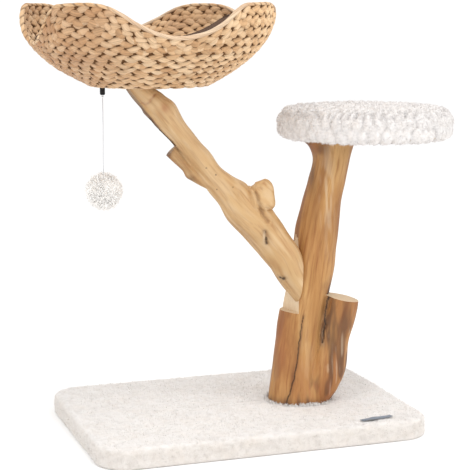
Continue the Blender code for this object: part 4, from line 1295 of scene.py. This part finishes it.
def build_rim(straw):
    """Long flat leaves twisted round the rim."""
    angle = round_about(1100)
    rise = rim_rise(angle)
    centre = bowl_points(angle, rise - 0.0014, BOWL_WALL / 2)
    closed = np.concatenate([centre[-1:], centre, centre[:1]])
    run = (closed[2:] - closed[:-2]) / 2
    steps = np.linalg.norm(run, axis=1)
    way = np.concatenate([[0], np.cumsum(steps)[:-1]])
    length = steps.sum()
    run /= steps[:, None]
    slope = bowl_slope(rise)
    stretch = 1 / np.hypot(1.0, slope)
    outward = xyz(np.cos(angle) * stretch, np.sin(angle) * stretch, -slope * stretch)
    up = np.cross(run, outward)
    up *= np.sign(up[:, 2:3])
    outward = np.cross(up, run) * np.sign((np.cross(up, run) * outward).sum(1))[:, None]
    sides = 30
    turn = round_about(sides)
    leaves = 3
    twists = leaves * round(length / 0.105)
    sway = 0.22 * bumps(xyz(way, 0, 0), 0.060, 19)
    sway = sway * smooth(0, 0.06, way) * smooth(0, 0.06, length - way)
    coil = way[:, None] / length * twists + leaves * turn[None, :] / TURN + sway[:, None]
    part = np.mod(coil, 1.0)
    number = np.mod(np.floor(coil), leaves)
    ridge = np.clip(np.sin(math.pi * part), 0, 1) ** 0.4
    grow = 0.86 + 0.15 * ridge
    wave = np.cos(PETALS * (angle - PETAL_TURN))
    left = 1 - smooth(0.45, 0.95, np.abs(turned_from(angle, math.radians(176))))
    plait = np.clip(smooth(0.35, 0.90, wave) + left, 0, 1)[:, None]
    ropes = round(length / 0.019)
    rope = np.abs(np.sin(math.pi * (way[:, None] / length * ropes + turn[None, :] / TURN + 2 * sway[:, None])))
    grow = grow * (1 - 0.26 * plait * (1 - np.sqrt(rope)))
    width = 0.0043 * np.sign(np.cos(turn)) * np.abs(np.cos(turn)) ** 0.85
    tall = 0.0031 * np.sign(np.sin(turn)) * np.abs(np.sin(turn)) ** 0.85
    uneven = 1 + 0.07 * bumps(xyz(way, 5, 0), 0.020, 18)
    grow = grow * uneven[:, None]
    points = (
        centre[:, None, :]
        + outward[:, None, :] * (width[None, :] * grow)[:, :, None]
        + up[:, None, :] * (tall[None, :] * grow)[:, :, None]
    )
    rim = mesh_object(
        "rim_wrap",
        points.reshape(-1, 3),
        [grid_faces(len(angle), sides, wrap_rows=True, wrap_columns=True)],
        straw,
    )
    grain = np.stack([way[:, None] + number * 0.77, part * 0.009, np.zeros_like(part)], -1)
    point_values(rim, "grain", grain.reshape(-1, 3))
    patch = bumps(xyz(way, 0, 0), 0.045, 24)
    tone = 0.52 + 0.22 * corner_value(number.astype(np.int64), number.astype(np.int64) * 0, 0, 23)
    point_values(rim, "tone", (tone + 0.14 * patch[:, None]).ravel())
    # Painted shade: darker at the seams between the leaves and between the plaited ropes.
    seam = 0.45 * (1 - smooth(0.0, 0.12, np.minimum(part, 1 - part)))
    between = plait * 0.85 * (1 - smooth(0.05, 0.60, rope))
    point_values(rim, "hollow_shade", np.maximum(seam, between).ravel())
    point_values(rim, "bleach", (0.42 * (1 - plait) + 0 * part).ravel())
    belongs(rim, "stand", "rim_band")


def build_frame_wires(steel):
    """The rim wire, ribs and foot ring, sunk between the braids."""
    weave = Weave()
    circle = np.linspace(0, TURN, 260)
    size = np.full(260, 0.0013)
    rim = bowl_points(circle, rim_rise(circle) - 0.0022, BOWL_WALL / 2)
    outward = xyz(np.cos(circle), np.sin(circle), 0)
    weave.add(rim, outward, size, size, circle, circle * 0, 6)
    foot = bowl_points(circle, np.full(260, 0.004), BOWL_WALL / 2)
    weave.add(foot, outward, size, size, circle, circle * 0, 6)
    for number in range(8):
        angle = np.full(40, TURN * number / 8)
        rise = np.linspace(0.03, 1, 40) * (rim_rise(angle) - 0.0045)
        rib = bowl_points(angle, rise, BOWL_WALL / 2)
        side = xyz(-np.sin(angle), np.cos(angle), 0)
        weave.add(rib, side, size[:40] * 0.7, size[:40] * 0.7, angle, angle * 0, 6)
    wires = weave.build("bowl_wires", steel)
    belongs(wires, "stand", "wire_frame")


# ---------------------------------------------------------------- plush


def tufts(roots, normals, length, width, lean, curl, seed):
    """(points, faces) of short curved fibres, each a tapering ribbon of three quads."""
    draw = np.random.default_rng(seed)
    count = len(roots)
    side = unit(np.cross(normals, draw.normal(size=(count, 3))))
    slant = np.cross(side, normals)
    reach = length * draw.uniform(0.6, 1.15, count)
    amount = lean * draw.uniform(0.2, 1.0, count)
    bend = curl * draw.uniform(-1, 1, count)
    half = width * draw.uniform(0.6, 1.2, count)
    rows = []
    for share, narrow in ((-0.15, 0.8), (0.35, 1.0), (0.72, 0.75), (1.0, 0.18)):
        spot = (
            roots
            + normals * (reach * (share - 0.22 * share**2))[:, None]
            + slant * (reach * amount * share**1.6)[:, None]
            + side * (reach * bend * share**2)[:, None]
        )
        rows.append(spot - side * (half * narrow)[:, None])
        rows.append(spot + side * (half * narrow)[:, None])
    points = np.stack(rows, 1).reshape(-1, 3)
    base = np.arange(count)[:, None] * 8
    quads = np.concatenate([base + np.array([[k, k + 1, k + 3, k + 2]]) for k in (0, 2, 4)])
    return points, [quads]


def fibre_values(count, *levels):
    """A value for each of a fibre's four pairs of points, from its root to its tip, for many fibres."""
    return np.tile(np.repeat(levels, 2), count)


def surface_samples(obj, count, seed, keep=None):
    """Random spots on an object's surface, spread by area, with their normals."""
    mesh = obj.data
    mesh.calc_loop_triangles()
    corners = read(mesh.loop_triangles, "vertices", np.int32)
    points, normals = surface(obj)
    a, b, c = (points[corners[:, k]] for k in range(3))
    area = np.linalg.norm(np.cross(b - a, c - a), axis=1)
    if keep is not None:
        area = area * keep((a + b + c) / 3)
    draw = np.random.default_rng(seed)
    chosen = draw.choice(len(area), count, p=area / area.sum())
    u, v = draw.random(count), draw.random(count)
    over = u + v > 1
    u, v = np.where(over, 1 - u, u), np.where(over, 1 - v, v)
    tri = corners[chosen]
    spots = points[tri[:, 0]] * (1 - u - v)[:, None] + points[tri[:, 1]] * u[:, None] + points[tri[:, 2]] * v[:, None]
    return spots, unit(normals[tri].mean(1))


def curly(points, size, seed):
    """Worm-like curls: ridges that wander, from 0 in the hollows to 1 on the curls."""
    shift = np.stack([bumps(points, size * 1.7, seed + k) for k in range(3)], 1) * size * 0.7
    first = 1 - np.abs(bumps(points + shift, size, seed + 5)) * 1.9
    second = 1 - np.abs(bumps(points - shift, size * 0.55, seed + 6)) * 1.9
    return np.clip(0.65 * first + 0.35 * second, 0, 1)


def build_base_cover(plush):
    """The board's short-pile cover, pulled round the edges and tucked under, with a few folds low down."""
    outline_steps = 640
    turn_points = base_outline(outline_steps)
    insets = []
    for angle in np.radians(np.linspace(0, 90, 7)):
        rise = BASE_HEIGHT - BASE_EDGE_ROUND * (1 - math.sin(angle))
        insets.append((BASE_EDGE_ROUND * (1 - math.cos(angle)), rise))
    side = [(0.0, height) for height in np.linspace(0.005, insets[0][1], 8)[:-1]]
    profile = [(0.030, 0.0), (0.016, 0.0), (0.004, 0.0), (0.0008, 0.0018)] + side + insets
    rings = [base_ring(turn_points, inset, height) for inset, height in profile]
    top = BASE_HEIGHT
    inset = insets[-1][0]
    while inset < BASE_DEPTH / 2 - 0.004:
        inset += BASE_STEP
        rings.append(base_ring(turn_points, inset, top))
    points = np.concatenate(rings + [[[0.0, 0.0, top]]])
    cover = mesh_object("base_pile", points, tube_faces(len(rings), outline_steps, start=False), plush)
    merge_close(cover, 0.0012)
    points, normals = surface(cover)
    curls = curly(points, 0.010, 51)
    broad = bumps(points, 0.060, 60)
    level = smooth(0.004, 0.014, points[:, 2])
    low_side = smooth(0.0, 0.006, points[:, 2]) * (1 - smooth(0.020, 0.034, points[:, 2]))
    reach = np.arctan2(points[:, 1] / BASE_DEPTH, points[:, 0] / BASE_WIDTH)
    folds = np.clip(bumps(xyz(reach * 9, 0, points[:, 2] * 20), 1.0, 64), 0, 1) ** 2
    outward = xyz(normals[:, 0], normals[:, 1], 0)
    move = 0.0014 * (curls - 0.85) + 0.0010 * (broad - 0.6)
    points = points + normals * (move * level)[:, None] - outward * (0.0036 * folds * low_side)[:, None]
    points[:, 2] = np.maximum(points[:, 2], 0.0)
    set_points(cover.data, points)
    # Painted shade: greyer in the hollows between curls and in the folds low on the side.
    point_values(cover, "hollow_shade", np.clip((0.50 - curls) * 1.4 + 0.7 * folds * low_side, 0, 1))
    # Painted shade: the board's sides darker than its top.
    point_values(cover, "side", 1 - smooth(BASE_HEIGHT - 0.007, BASE_HEIGHT, points[:, 2]))
    belongs(cover, "stand", "base_cover")

    spots, facing = surface_samples(cover, BASE_FIBRES, 7, lambda p: (p[:, 2] > 0.003).astype(float))
    points, faces = tufts(spots - facing * 0.0012, facing, 0.0038, 0.00050, 0.9, 0.8, 8)
    pile = mesh_object("base_fibres", points, faces, plush)
    # Painted shade: darker at the fibres' roots and on the board's sides.
    point_values(pile, "hollow_shade", fibre_values(len(spots), 0.12, 0.04, 0.0, 0.0))
    point_values(pile, "side", 1 - smooth(BASE_HEIGHT - 0.007, BASE_HEIGHT, points[:, 2]))
    belongs(pile, "stand")
    collar = foot_collar(plush)
    belongs(collar, "stand")


def foot_collar(plush):
    """Longer fibres that lean on the foot of the trunk."""
    spots = []
    facing = []
    draw = np.random.default_rng(15)
    for row, count in ((TRUNK_ROWS[0], 620), (STUB_ROWS[0], 420)):
        angle = draw.uniform(0, TURN, count)
        grow = draw.uniform(0.000, 0.007, count)
        x = (row[3] + grow) * np.cos(angle)
        y = (row[4] + grow) * np.sin(angle)
        middle = tree_spot(row[0], row[1], BASE_HEIGHT - 0.001)
        place = middle + np.outer(x, ALONG) + np.outer(y, ACROSS)
        spots.append(place)
        lean = np.outer(np.cos(angle), ALONG) + np.outer(np.sin(angle), ACROSS)
        facing.append(np.array([0, 0, 1.0]) - 0.30 * lean)
    points, faces = tufts(np.concatenate(spots), unit(np.concatenate(facing)), 0.0075, 0.0009, 0.7, 0.8, 16)
    collar = mesh_object("foot_fibres", points, faces, plush)
    point_values(collar, "hollow_shade", np.zeros(len(points)))
    return collar


def base_outline(count):
    """Unit runs round a rounded rectangle: for each step the corner centre and the direction out of it."""
    half_x = BASE_WIDTH / 2 - BASE_CORNER
    half_y = BASE_DEPTH / 2 - BASE_CORNER
    arc = BASE_CORNER * math.pi / 2
    lengths = [2 * half_y, arc, 2 * half_x, arc, 2 * half_y, arc, 2 * half_x, arc]
    total = sum(lengths)
    corners = [(half_x, half_y), (-half_x, half_y), (-half_x, -half_y), (half_x, -half_y)]
    result = []
    for i in range(count):
        way = total * i / count
        leg = 0
        while way > lengths[leg]:
            way -= lengths[leg]
            leg += 1
        corner = leg // 2
        if leg % 2:
            angle = math.pi / 2 * corner + way / BASE_CORNER
            result.append((corners[corner][0], corners[corner][1], math.cos(angle), math.sin(angle)))
        else:
            share = way / lengths[leg]
            start = corners[corner - 1]
            end = corners[corner]
            angle = math.pi / 2 * corner
            place = [start[k] + (end[k] - start[k]) * share for k in (0, 1)]
            result.append((place[0], place[1], math.cos(angle), math.sin(angle)))
    return np.array(result)


def base_ring(outline, inset, height):
    """The outline moved inwards; past the corner radius it shrinks as a plain rectangle."""
    corner = max(BASE_CORNER - inset, 0.0)
    extra = max(inset - BASE_CORNER, 0.0)
    half_x = BASE_WIDTH / 2 - BASE_CORNER
    half_y = BASE_DEPTH / 2 - BASE_CORNER
    x = outline[:, 0] * max(half_x - extra, 0.0) / half_x + outline[:, 2] * corner
    y = outline[:, 1] * max(half_y - extra, 0.0) / half_y + outline[:, 3] * corner
    return xyz(x, y, height)


def merge_close(obj, distance):
    modifier = obj.modifiers.new("merge", "WELD")
    modifier.merge_threshold = distance
    apply_modifiers(obj)


def clumps(places, centres, turns, long, short):
    """Soft overlapping mounds: each point's height on the highest mound, from 0 to 1."""
    best = np.zeros(len(places))
    for (x, y), turn, a, b in zip(centres, turns, long, short):
        u = (places[:, 0] - x) * math.cos(turn) + (places[:, 1] - y) * math.sin(turn)
        v = (places[:, 1] - y) * math.cos(turn) - (places[:, 0] - x) * math.sin(turn)
        best = np.maximum(best, 1 - (u / a) ** 2 - (v / b) ** 2)
    return np.sqrt(best)


def side_relief(turn, height):
    """Locks of the perch's side, in two staggered rows round it, measured along the rim."""
    draw = np.random.default_rng(53)
    length = TURN * PERCH_RADIUS
    centres = []
    count = LOCK_COUNT
    for row, row_height in enumerate(LOCK_ROWS):
        for i in range(-1, count + 1):
            way = length * (i % count + 0.5 * row) / count
            shift = np.random.default_rng(i % count + int(row_height * 1e4)).uniform(-0.0035, 0.0035, 2)
            centres.append((way + shift[0] + (i - i % count) / count * length, row_height + shift[1]))
    amount = len(centres)
    wide = draw.uniform(0.0105, 0.0130, amount)
    tall = draw.uniform(0.0150, 0.0185, amount)
    way = np.mod(turn, TURN) * PERCH_RADIUS
    return clumps(np.stack([way, height], 1), centres, np.zeros(amount), wide, tall)


def top_relief(x, y):
    """Curls in wandering rows over the perch's top."""
    draw = np.random.default_rng(54)
    pitch = CURL_PITCH
    reach = int(PERCH_RADIUS / pitch) + 1
    centres = []
    turns = []
    for row in range(-reach, reach + 1):
        for column in range(-reach, reach + 1):
            u = (column * 1.55 + 0.75 * (row % 2) + draw.uniform(-0.30, 0.30)) * pitch
            v = (row + draw.uniform(-0.25, 0.25)) * pitch
            if math.hypot(u, v) < PERCH_RADIUS:
                centres.append((u, v + 0.006 * math.sin(u * 95)))
                turns.append(0.55 * math.cos(u * 95) + draw.uniform(-0.25, 0.25))
    amount = len(centres)
    long = draw.uniform(0.0140, 0.0180, amount)
    short = draw.uniform(0.0088, 0.0108, amount)
    mounds = clumps(np.stack([x, y], 1), centres, turns, long, short)
    spots = xyz(x, y, 0)
    wander = 0.85 * bumps(spots, 0.040, 121) + 0.35 * bumps(spots, 0.016, 122)
    lanes = (0.96 * x - 0.27 * y) / LANE_PITCH + 0.28 * np.sin(y * 120) + wander
    ridges = 1 - np.abs(2 * np.mod(lanes, 1.0) - 1) ** 1.6
    return ridges * (0.35 + 0.65 * mounds)


def build_perch_cover(plush):
    """The perch's deep curly cover: wandering rows of curls on top, plump locks round the side."""
    sides = 440
    angle = round_about(sides)
    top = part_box("perch_cover")[1][2]
    inset = PERCH_PILE_INSET
    bend = PERCH_UNDER_ROUND
    profile = [(PERCH_HEM_RADIUS, PERCH_BOTTOM), (PERCH_RADIUS - 0.022, PERCH_BOTTOM)]
    for turn in np.radians(np.linspace(90, 15, 6)):
        away = bend * (1 - math.cos(turn))
        profile.append((PERCH_RADIUS - inset - away, PERCH_BOTTOM + bend * (1 - math.sin(turn))))
    side_top = top - PERCH_EDGE_ROUND - inset
    profile += [(PERCH_RADIUS - inset, height) for height in np.linspace(PERCH_BOTTOM + bend, side_top, 8)]
    for turn in np.radians(np.linspace(8, 90, 12)):
        away = PERCH_EDGE_ROUND * (1 - math.cos(turn))
        profile.append((PERCH_RADIUS - inset - away, top - inset - PERCH_EDGE_ROUND * (1 - math.sin(turn))))
    radius = profile[-1][0]
    while radius > 0.006:
        radius -= 0.0024
        profile.append((radius, top - inset))
    rings = [
        xyz(PERCH_CENTRE[0] + r * np.cos(angle), PERCH_CENTRE[1] + r * np.sin(angle), z)
        for r, z in profile
    ]
    points = np.concatenate(rings + [[[*PERCH_CENTRE, top - inset]]])
    cover = mesh_object("perch_pile", points, tube_faces(len(rings), sides, start=False), plush)
    merge_close(cover, 0.0007)
    points, normals = surface(cover)
    x = points[:, 0] - PERCH_CENTRE[0]
    y = points[:, 1] - PERCH_CENTRE[1]
    upper = smooth(0.35, 0.80, normals[:, 2])
    side = side_relief(np.arctan2(y, x), points[:, 2])
    flat = top_relief(x * ALONG[0] + y * ALONG[1], x * ACROSS[0] + y * ACROSS[1])
    relief = side * (1 - upper) + flat * upper
    level = smooth(-0.9, -0.3, normals[:, 2])
    curls = curly(points, 0.0065, 90)
    move = 0.0054 * side * (1 - upper) + 0.0068 * flat * upper + 0.0010 * (curls - 0.6)
    hem = 1 - smooth(PERCH_BOTTOM + 0.002, PERCH_BOTTOM + 0.012, points[:, 2])
    points = points + normals * (move * level)[:, None]
    points[:, 2] += PERCH_CROWN * upper * (1 - (np.hypot(x, y) / PERCH_RADIUS) ** 2)
    points[:, :2] += normals[:, :2] * (0.0018 * (1 - np.abs(points[:, 2:3] - 0.540) / 0.022).clip(0, 1))
    outer = smooth(PERCH_RADIUS - 0.030, PERCH_RADIUS - 0.014, np.hypot(x, y))
    points[:, 2] -= 0.0045 * hem * outer * side
    set_points(cover.data, points)
    # Painted shade: greyer in the hollows between the curls and locks, most on the top.
    point_values(cover, "hollow_shade", np.clip((0.55 + 0.40 * upper) * (1 - smooth(0.15, 0.80, relief)) * level, 0, 1))
    point_values(cover, "grain", points)
    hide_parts("perch_cover")

    def wanted(spot):
        return (np.hypot(spot[:, 0] - PERCH_CENTRE[0], spot[:, 1]) > 0.13) + (spot[:, 2] > 0.54) * 1.0

    spots, facing = surface_samples(cover, PERCH_FIBRES, 17, wanted)
    points, faces = tufts(spots - facing * 0.0006, facing, 0.0038, 0.00050, 1.4, 1.0, 18)
    pile = mesh_object("perch_fibres", points, faces, plush)
    # Painted shade: darker at the fibres' roots.
    point_values(pile, "hollow_shade", fibre_values(len(spots), 0.20, 0.10, 0.04, 0.0))
    point_values(pile, "grain", points)
    for piece in (cover, pile):
        belongs(piece, "stand")


# ---------------------------------------------------------------- cushion


def cushion_edge_rise(angle):
    turn = turned_from(angle, CUSHION_RAISED_SIDE)
    rise = CUSHION_EDGE + CUSHION_RAISE * bell(turn, CUSHION_RAISED_SPREAD)
    return np.minimum(rise, rim_rise(angle) - CUSHION_BELOW_RIM)


def settled(points):
    """The cushion's edge sits lower on the far side: points slid down the bowl's wall there."""
    flat = points[:, :2] - np.array(BOWL_CENTRE)
    angle = np.arctan2(flat[:, 1], flat[:, 0])
    rise = points[:, 2] - BOWL_BOTTOM
    away = np.maximum(np.hypot(flat[:, 0], flat[:, 1]), 1e-6)
    share = bell(turned_from(angle, SETTLED_SIDE), SETTLED_SPREAD) * smooth(0.03, 0.13, away)
    drop = SETTLED_DROP * share * (1 - smooth(0.006, 0.050, cushion_edge_rise(angle) - rise))
    reach = away + bowl_radius(rise - drop) - bowl_radius(rise)
    return np.column_stack([np.array(BOWL_CENTRE) + flat * (reach / away)[:, None], points[:, 2] - drop])


def inflate(obj, pressure, steps):
    """Blows the shape up as cloth and keeps the result as a plain mesh."""
    modifier = obj.modifiers.new("inflate", "CLOTH")
    settings = modifier.settings
    settings.quality = 5
    settings.mass = 0.25
    settings.tension_stiffness = 20
    settings.compression_stiffness = 20
    settings.bending_stiffness = 0.6
    settings.use_pressure = True
    settings.uniform_pressure_force = pressure
    settings.effector_weights.gravity = 0
    modifier.point_cache.frame_start = 1
    modifier.point_cache.frame_end = steps
    for step in range(1, steps + 1):
        scene.frame_set(step)
    apply_modifiers(obj)
    scene.frame_set(1)


def cushion_ring(angle, below, inside):
    """A ring round the cushion, below its edge and inside its cloth."""
    return bowl_points(angle, cushion_edge_rise(angle) - below, CUSHION_LIE + inside)


def build_cushion(cloth, piping_cloth):
    """The loose cushion: filled, crowned, with a piped edge that climbs one side of the bowl."""
    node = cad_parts["bowl_cushion"]
    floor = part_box("bowl_cushion")[0][2]
    cushion = shown("loose_cushion", node.data.copy())
    ring = np.linspace(0, TURN, 400)
    outward = xyz(np.cos(ring), np.sin(ring), 0)
    size = np.full(400, HEM_RADIUS)
    hem_points = leaf_strand(cushion_ring(ring, HEM_BELOW, HEM_INSIDE), outward, size, size, 10)
    hem = joined("cushion_hem", [hem_points], cloth)
    both = bmesh.new()
    both.from_mesh(node.data)
    both.from_mesh(hem.data)
    both.to_mesh(cushion.data)
    both.free()
    bpy.data.objects.remove(hem)
    voxel_joined(cushion, CUSHION_VOXEL)
    start, normals = surface(cushion)
    start = start - normals * CUSHION_SHRINK
    start[:, 2] = np.maximum(start[:, 2], floor)
    set_points(cushion.data, start)
    inflate(cushion, CUSHION_PRESSURE, CUSHION_FRAMES)
    upper = smooth(0.0, 0.5, normals[:, 2])
    flat = start[:, :2] - np.array(BOWL_CENTRE)
    distance = np.hypot(flat[:, 1], flat[:, 0])
    near_edge = smooth(0.45, 0.85, distance / 0.18)
    edge_height = BOWL_BOTTOM + cushion_edge_rise(np.arctan2(flat[:, 1], flat[:, 0]))
    loose = smooth(0.009, 0.022, edge_height - start[:, 2])
    cap = (0.0014 + 0.0065 * upper * (1 - 0.75 * near_edge)) * loose
    move = surface(cushion)[0] - start
    share = np.minimum(1.0, cap / np.maximum(np.linalg.norm(move, axis=1), 1e-9))
    points = start + move * share[:, None]
    points[:, 2] = np.maximum(points[:, 2], floor)
    angle = np.arctan2(points[:, 1] - BOWL_CENTRE[1], points[:, 0] - BOWL_CENTRE[0])
    pleats = np.clip(bumps(xyz(angle * 7.0, 0, distance * 5), 1.0, 95), -1, 1)
    creases = bumps(points, 0.030, 97) * 0.0012
    points = pressed(points, normals, -(0.0016 * pleats * near_edge + creases) * upper * loose)
    points[:, 2] -= BUTTON_DIP * (bell(distance, 0.016) * upper)
    points = settled(points)
    set_points(cushion.data, points)
    modifier = cushion.modifiers.new("fine", "SUBSURF")
    modifier.levels = modifier.render_levels = 1
    apply_modifiers(cushion)
    give_materials(cushion, (cloth,))
    belongs(cushion, "cushion", "bowl_cushion")

    weave = Weave()
    size = np.full(400, PIPING_RADIUS)
    weave.add(settled(cushion_ring(ring, PIPING_BELOW, PIPING_INSIDE)), outward, size, size, ring, ring * 0, 8)
    belongs(weave.build("cushion_piping", piping_cloth), "cushion")

    centre_top = points[(distance < 0.006) & (upper > 0.5)][:, 2].mean()
    turn = round_about(40)
    rows = []
    for share in np.linspace(0, 1, 10):
        radius = BUTTON_RADIUS * math.cos(share * math.pi / 2 * 0.98)
        height = centre_top - 0.002 + BUTTON_HEIGHT * math.sin(share * math.pi / 2)
        rows.append(xyz(BOWL_CENTRE[0] + radius * np.cos(turn), BOWL_CENTRE[1] + radius * np.sin(turn), height))
    faces = [grid_faces(10, 40, wrap_columns=True)]
    button = mesh_object("cushion_button", np.concatenate(rows), faces, piping_cloth)
    belongs(button, "cushion")


# ---------------------------------------------------------------- toy


def build_toy(string, fluff):
    """The string, its knot and the fluffy ball."""
    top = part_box("toy_cord")[1][2]
    curve = bpy.data.curves.new("toy_string", "CURVE")
    curve.dimensions = "3D"
    curve.bevel_depth = CORD_RADIUS
    curve.bevel_resolution = 4
    curve.use_fill_caps = True
    line = curve.splines.new("POLY")
    line.points.add(CORD_POINTS - 1)
    for i, point in enumerate(line.points):
        share = i / (CORD_POINTS - 1)
        sway = 0.0005 * math.sin(share * math.pi * 2) * share
        point.co = (TOY_SPOT[0] + sway, TOY_SPOT[1], top - (CORD_LENGTH + CORD_TUCKED) * share, 1.0)
    curve.materials.append(string)
    cord = shown("toy_string", curve)
    belongs(cord, "toy", "toy_cord")

    knot_low, knot_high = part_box("cord_knot")
    turn = round_about(90)
    bight = xyz(
        (np.sin(turn) + 2 * np.sin(2 * turn)) * 0.00045,
        (np.cos(turn) - 2 * np.cos(2 * turn)) * 0.00045,
        -np.sin(3 * turn) * 0.0008,
    ) + np.array([*TOY_SPOT, (knot_low[2] + knot_high[2]) / 2])
    closed = np.concatenate([bight, bight[:1]])
    size = np.full(len(closed), 0.00068)
    weave = Weave()
    weave.add(closed, np.tile([0.3, 0.2, 1.0], (len(closed), 1)), size, size, size * 0, size * 0, 8)
    knot = weave.build("string_knot", string)
    belongs(knot, "knot", "cord_knot")

    low, high = (np.array(corner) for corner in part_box("pompom"))
    centre = (low + high) / 2
    radius = (high[2] - low[2]) / 2
    number = np.arange(POMPOM_FIBRES) + 0.5
    polar = np.arccos(1 - 2 * number / POMPOM_FIBRES)
    golden = math.pi * (1 + math.sqrt(5)) * number
    rays = xyz(np.cos(golden) * np.sin(polar), np.sin(golden) * np.sin(polar), np.cos(polar))
    lumps = bumps(rays * radius, 0.016, 101)
    core_points, core_faces = ball_mesh(centre, radius * POMPOM_CORE)
    core_lumps = bumps(core_points - centre, 0.013, 103)
    core_points = centre + (core_points - centre) * (1 + 0.06 * core_lumps)[:, None]
    core = mesh_object("pompom_core", core_points, core_faces, fluff)
    # Painted shade: darker in the dips between the core's lumps.
    point_values(core, "hollow_shade", np.clip(0.10 - core_lumps * 0.3, 0, 1))
    draw = np.random.default_rng(31)
    rays = unit(rays + draw.normal(size=rays.shape) * 0.22)
    roots = centre + rays * (radius * (0.58 + 0.05 * lumps))[:, None]
    points, faces = tufts(roots, rays, radius * 0.45, 0.00085, 0.9, 0.9, 33)
    tuft = mesh_object("pompom_tufts", points, faces, fluff)
    # Painted shade: darker at the tufts' roots.
    point_values(tuft, "hollow_shade", fibre_values(POMPOM_FIBRES, 0.10, 0.04, 0.0, 0.0))
    belongs(core, "toy")
    belongs(tuft, "toy", "pompom")


def ball_mesh(centre, radius, rows=40, columns=64):
    polar = np.linspace(0, math.pi, rows)[1:-1]
    turn = round_about(columns)
    rings = [
        xyz(np.sin(p) * np.cos(turn), np.sin(p) * np.sin(turn), np.cos(p))
        for p in polar
    ]
    points = np.concatenate(rings + [[[0.0, 0.0, 1.0]], [[0.0, 0.0, -1.0]]]) * radius + centre
    return points, [group[:, ::-1] for group in tube_faces(len(rings), columns)]


# ---------------------------------------------------------------- tag and carried-over nodes


def build_tag(cloth):
    """A plain two-layer ribbon tag with a closed edge, lying in the pile."""
    low, high = (np.array(corner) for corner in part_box("sewn_tag"))
    centre = (low + high) / 2
    turn = math.radians(9)
    columns, rows = 60, 12
    u = np.linspace(-0.031, 0.031, columns)
    v = np.linspace(-0.0055, 0.0055, rows)
    grid_u, grid_v = np.meshgrid(u, v, indexing="ij")
    flat = np.stack([grid_u.ravel(), grid_v.ravel(), np.zeros(columns * rows)], 1)
    lift = 0.0014 + 0.0009 * bumps(flat + np.array([3.0, 1.0, 0.0]), 0.014, 111)
    sheets = []
    for height in (0.0, 0.0006):
        layer = flat.copy()
        layer[:, 2] = lift + height
        sheets.append(layer)
    points = np.concatenate(sheets)
    spin = np.array([[math.cos(turn), -math.sin(turn), 0], [math.sin(turn), math.cos(turn), 0], [0, 0, 1.0]])
    points = points @ spin.T + np.array([centre[0], centre[1], BASE_HEIGHT])
    count = columns * rows
    upper = grid_faces(columns, rows, start=count)
    lower = grid_faces(columns, rows)[:, ::-1]
    rim = np.concatenate(
        [
            np.arange(columns) * rows,
            (columns - 1) * rows + np.arange(1, rows),
            np.arange(columns - 2, -1, -1) * rows + rows - 1,
            np.arange(rows - 2, 0, -1),
        ]
    )
    following = np.roll(rim, -1)
    edge = np.stack([rim, following, following + count, rim + count], -1)
    tag = mesh_object("ribbon_tag", points, [upper, lower, edge], cloth)
    belongs(tag, "stand", "sewn_tag")


def repaint(names, material):
    for name in names:
        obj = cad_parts[name]
        for place in obj.material_slots:
            place.material = material


# ---------------------------------------------------------------- everything


build_camera()
white_string = string_paint()
pompom_fluff = plush_paint("pompom_fluff_pile", (1.0, 0.985, 0.965), (0.975, 0.955, 0.93), 260.0, 60.0)
build_toy(white_string, pompom_fluff)
build_studio()
trunk_wood = wood_paint("trunk_grain", (0.590, 0.345, 0.136), (0.450, 0.228, 0.074), (0.285, 0.120, 0.037), 0.85)
branch_wood = wood_paint("branch_grain", (0.650, 0.450, 0.240), (0.570, 0.366, 0.174), (0.415, 0.232, 0.092), 0.70)
sawn_wood = end_grain_paint("sawn_grain")
build_trunk(trunk_wood, sawn_wood)
build_branch(branch_wood, sawn_wood)
straw = straw_paint("plaited_leaf")
build_weave(straw)
build_rim(straw_paint("rim_leaf", (0.63, 0.51, 0.40)))
steel = steel_paint()
build_frame_wires(steel)
base_plush = plush_paint("base_pile_plush", (0.800, 0.775, 0.755), (0.66, 0.63, 0.605), 420.0, 40.0)
perch_plush = plush_paint("perch_pile_plush", (0.800, 0.772, 0.755), (0.58, 0.56, 0.56), 330.0, 70.0)
build_base_cover(base_plush)
build_perch_cover(perch_plush)
cushion_cloth = cloth_paint("brushed_taupe", (0.145, 0.082, 0.054), (0.080, 0.045, 0.030), 260.0)
piping_cloth = cloth_paint("piping_taupe", (0.125, 0.076, 0.052), (0.070, 0.042, 0.029), 320.0)
build_cushion(cushion_cloth, piping_cloth)
build_tag(cloth_paint("ribbon_grey", (0.36, 0.40, 0.46), (0.16, 0.18, 0.21), 500.0))

bolts = [f"trunk_bolt_{i}" for i in (1, 2, 3)] + [f"trunk_washer_{i}" for i in (1, 2, 3)]
screws = [f"perch_screw_{i}" for i in (1, 2, 3)] + [f"bowl_screw_{i}" for i in (1, 2, 3)]
repaint(bolts + screws + ["branch_screw_1", "branch_screw_2"], steel)
repaint(["toy_ferrule", "ferrule_button"], plastic_paint())
plies = board_paint("plies", (0.68, 0.52, 0.33), (0.50, 0.36, 0.21), (30, 30, 700), 1.0)
repaint(["perch_plywood", "bowl_disc"], plies)
repaint(["base_board"], board_paint("pressed_board", (0.60, 0.47, 0.31), (0.38, 0.27, 0.16), (1, 1, 1), 220.0))
repaint(["perch_foam"], board_paint("open_foam", (0.86, 0.83, 0.72), (0.66, 0.62, 0.50), (1, 1, 1), 700.0))
felt = cloth_paint("pressed_felt", (0.10, 0.10, 0.105), (0.05, 0.05, 0.055), 150.0)
repaint(["base_underlay", "perch_lining"], felt)
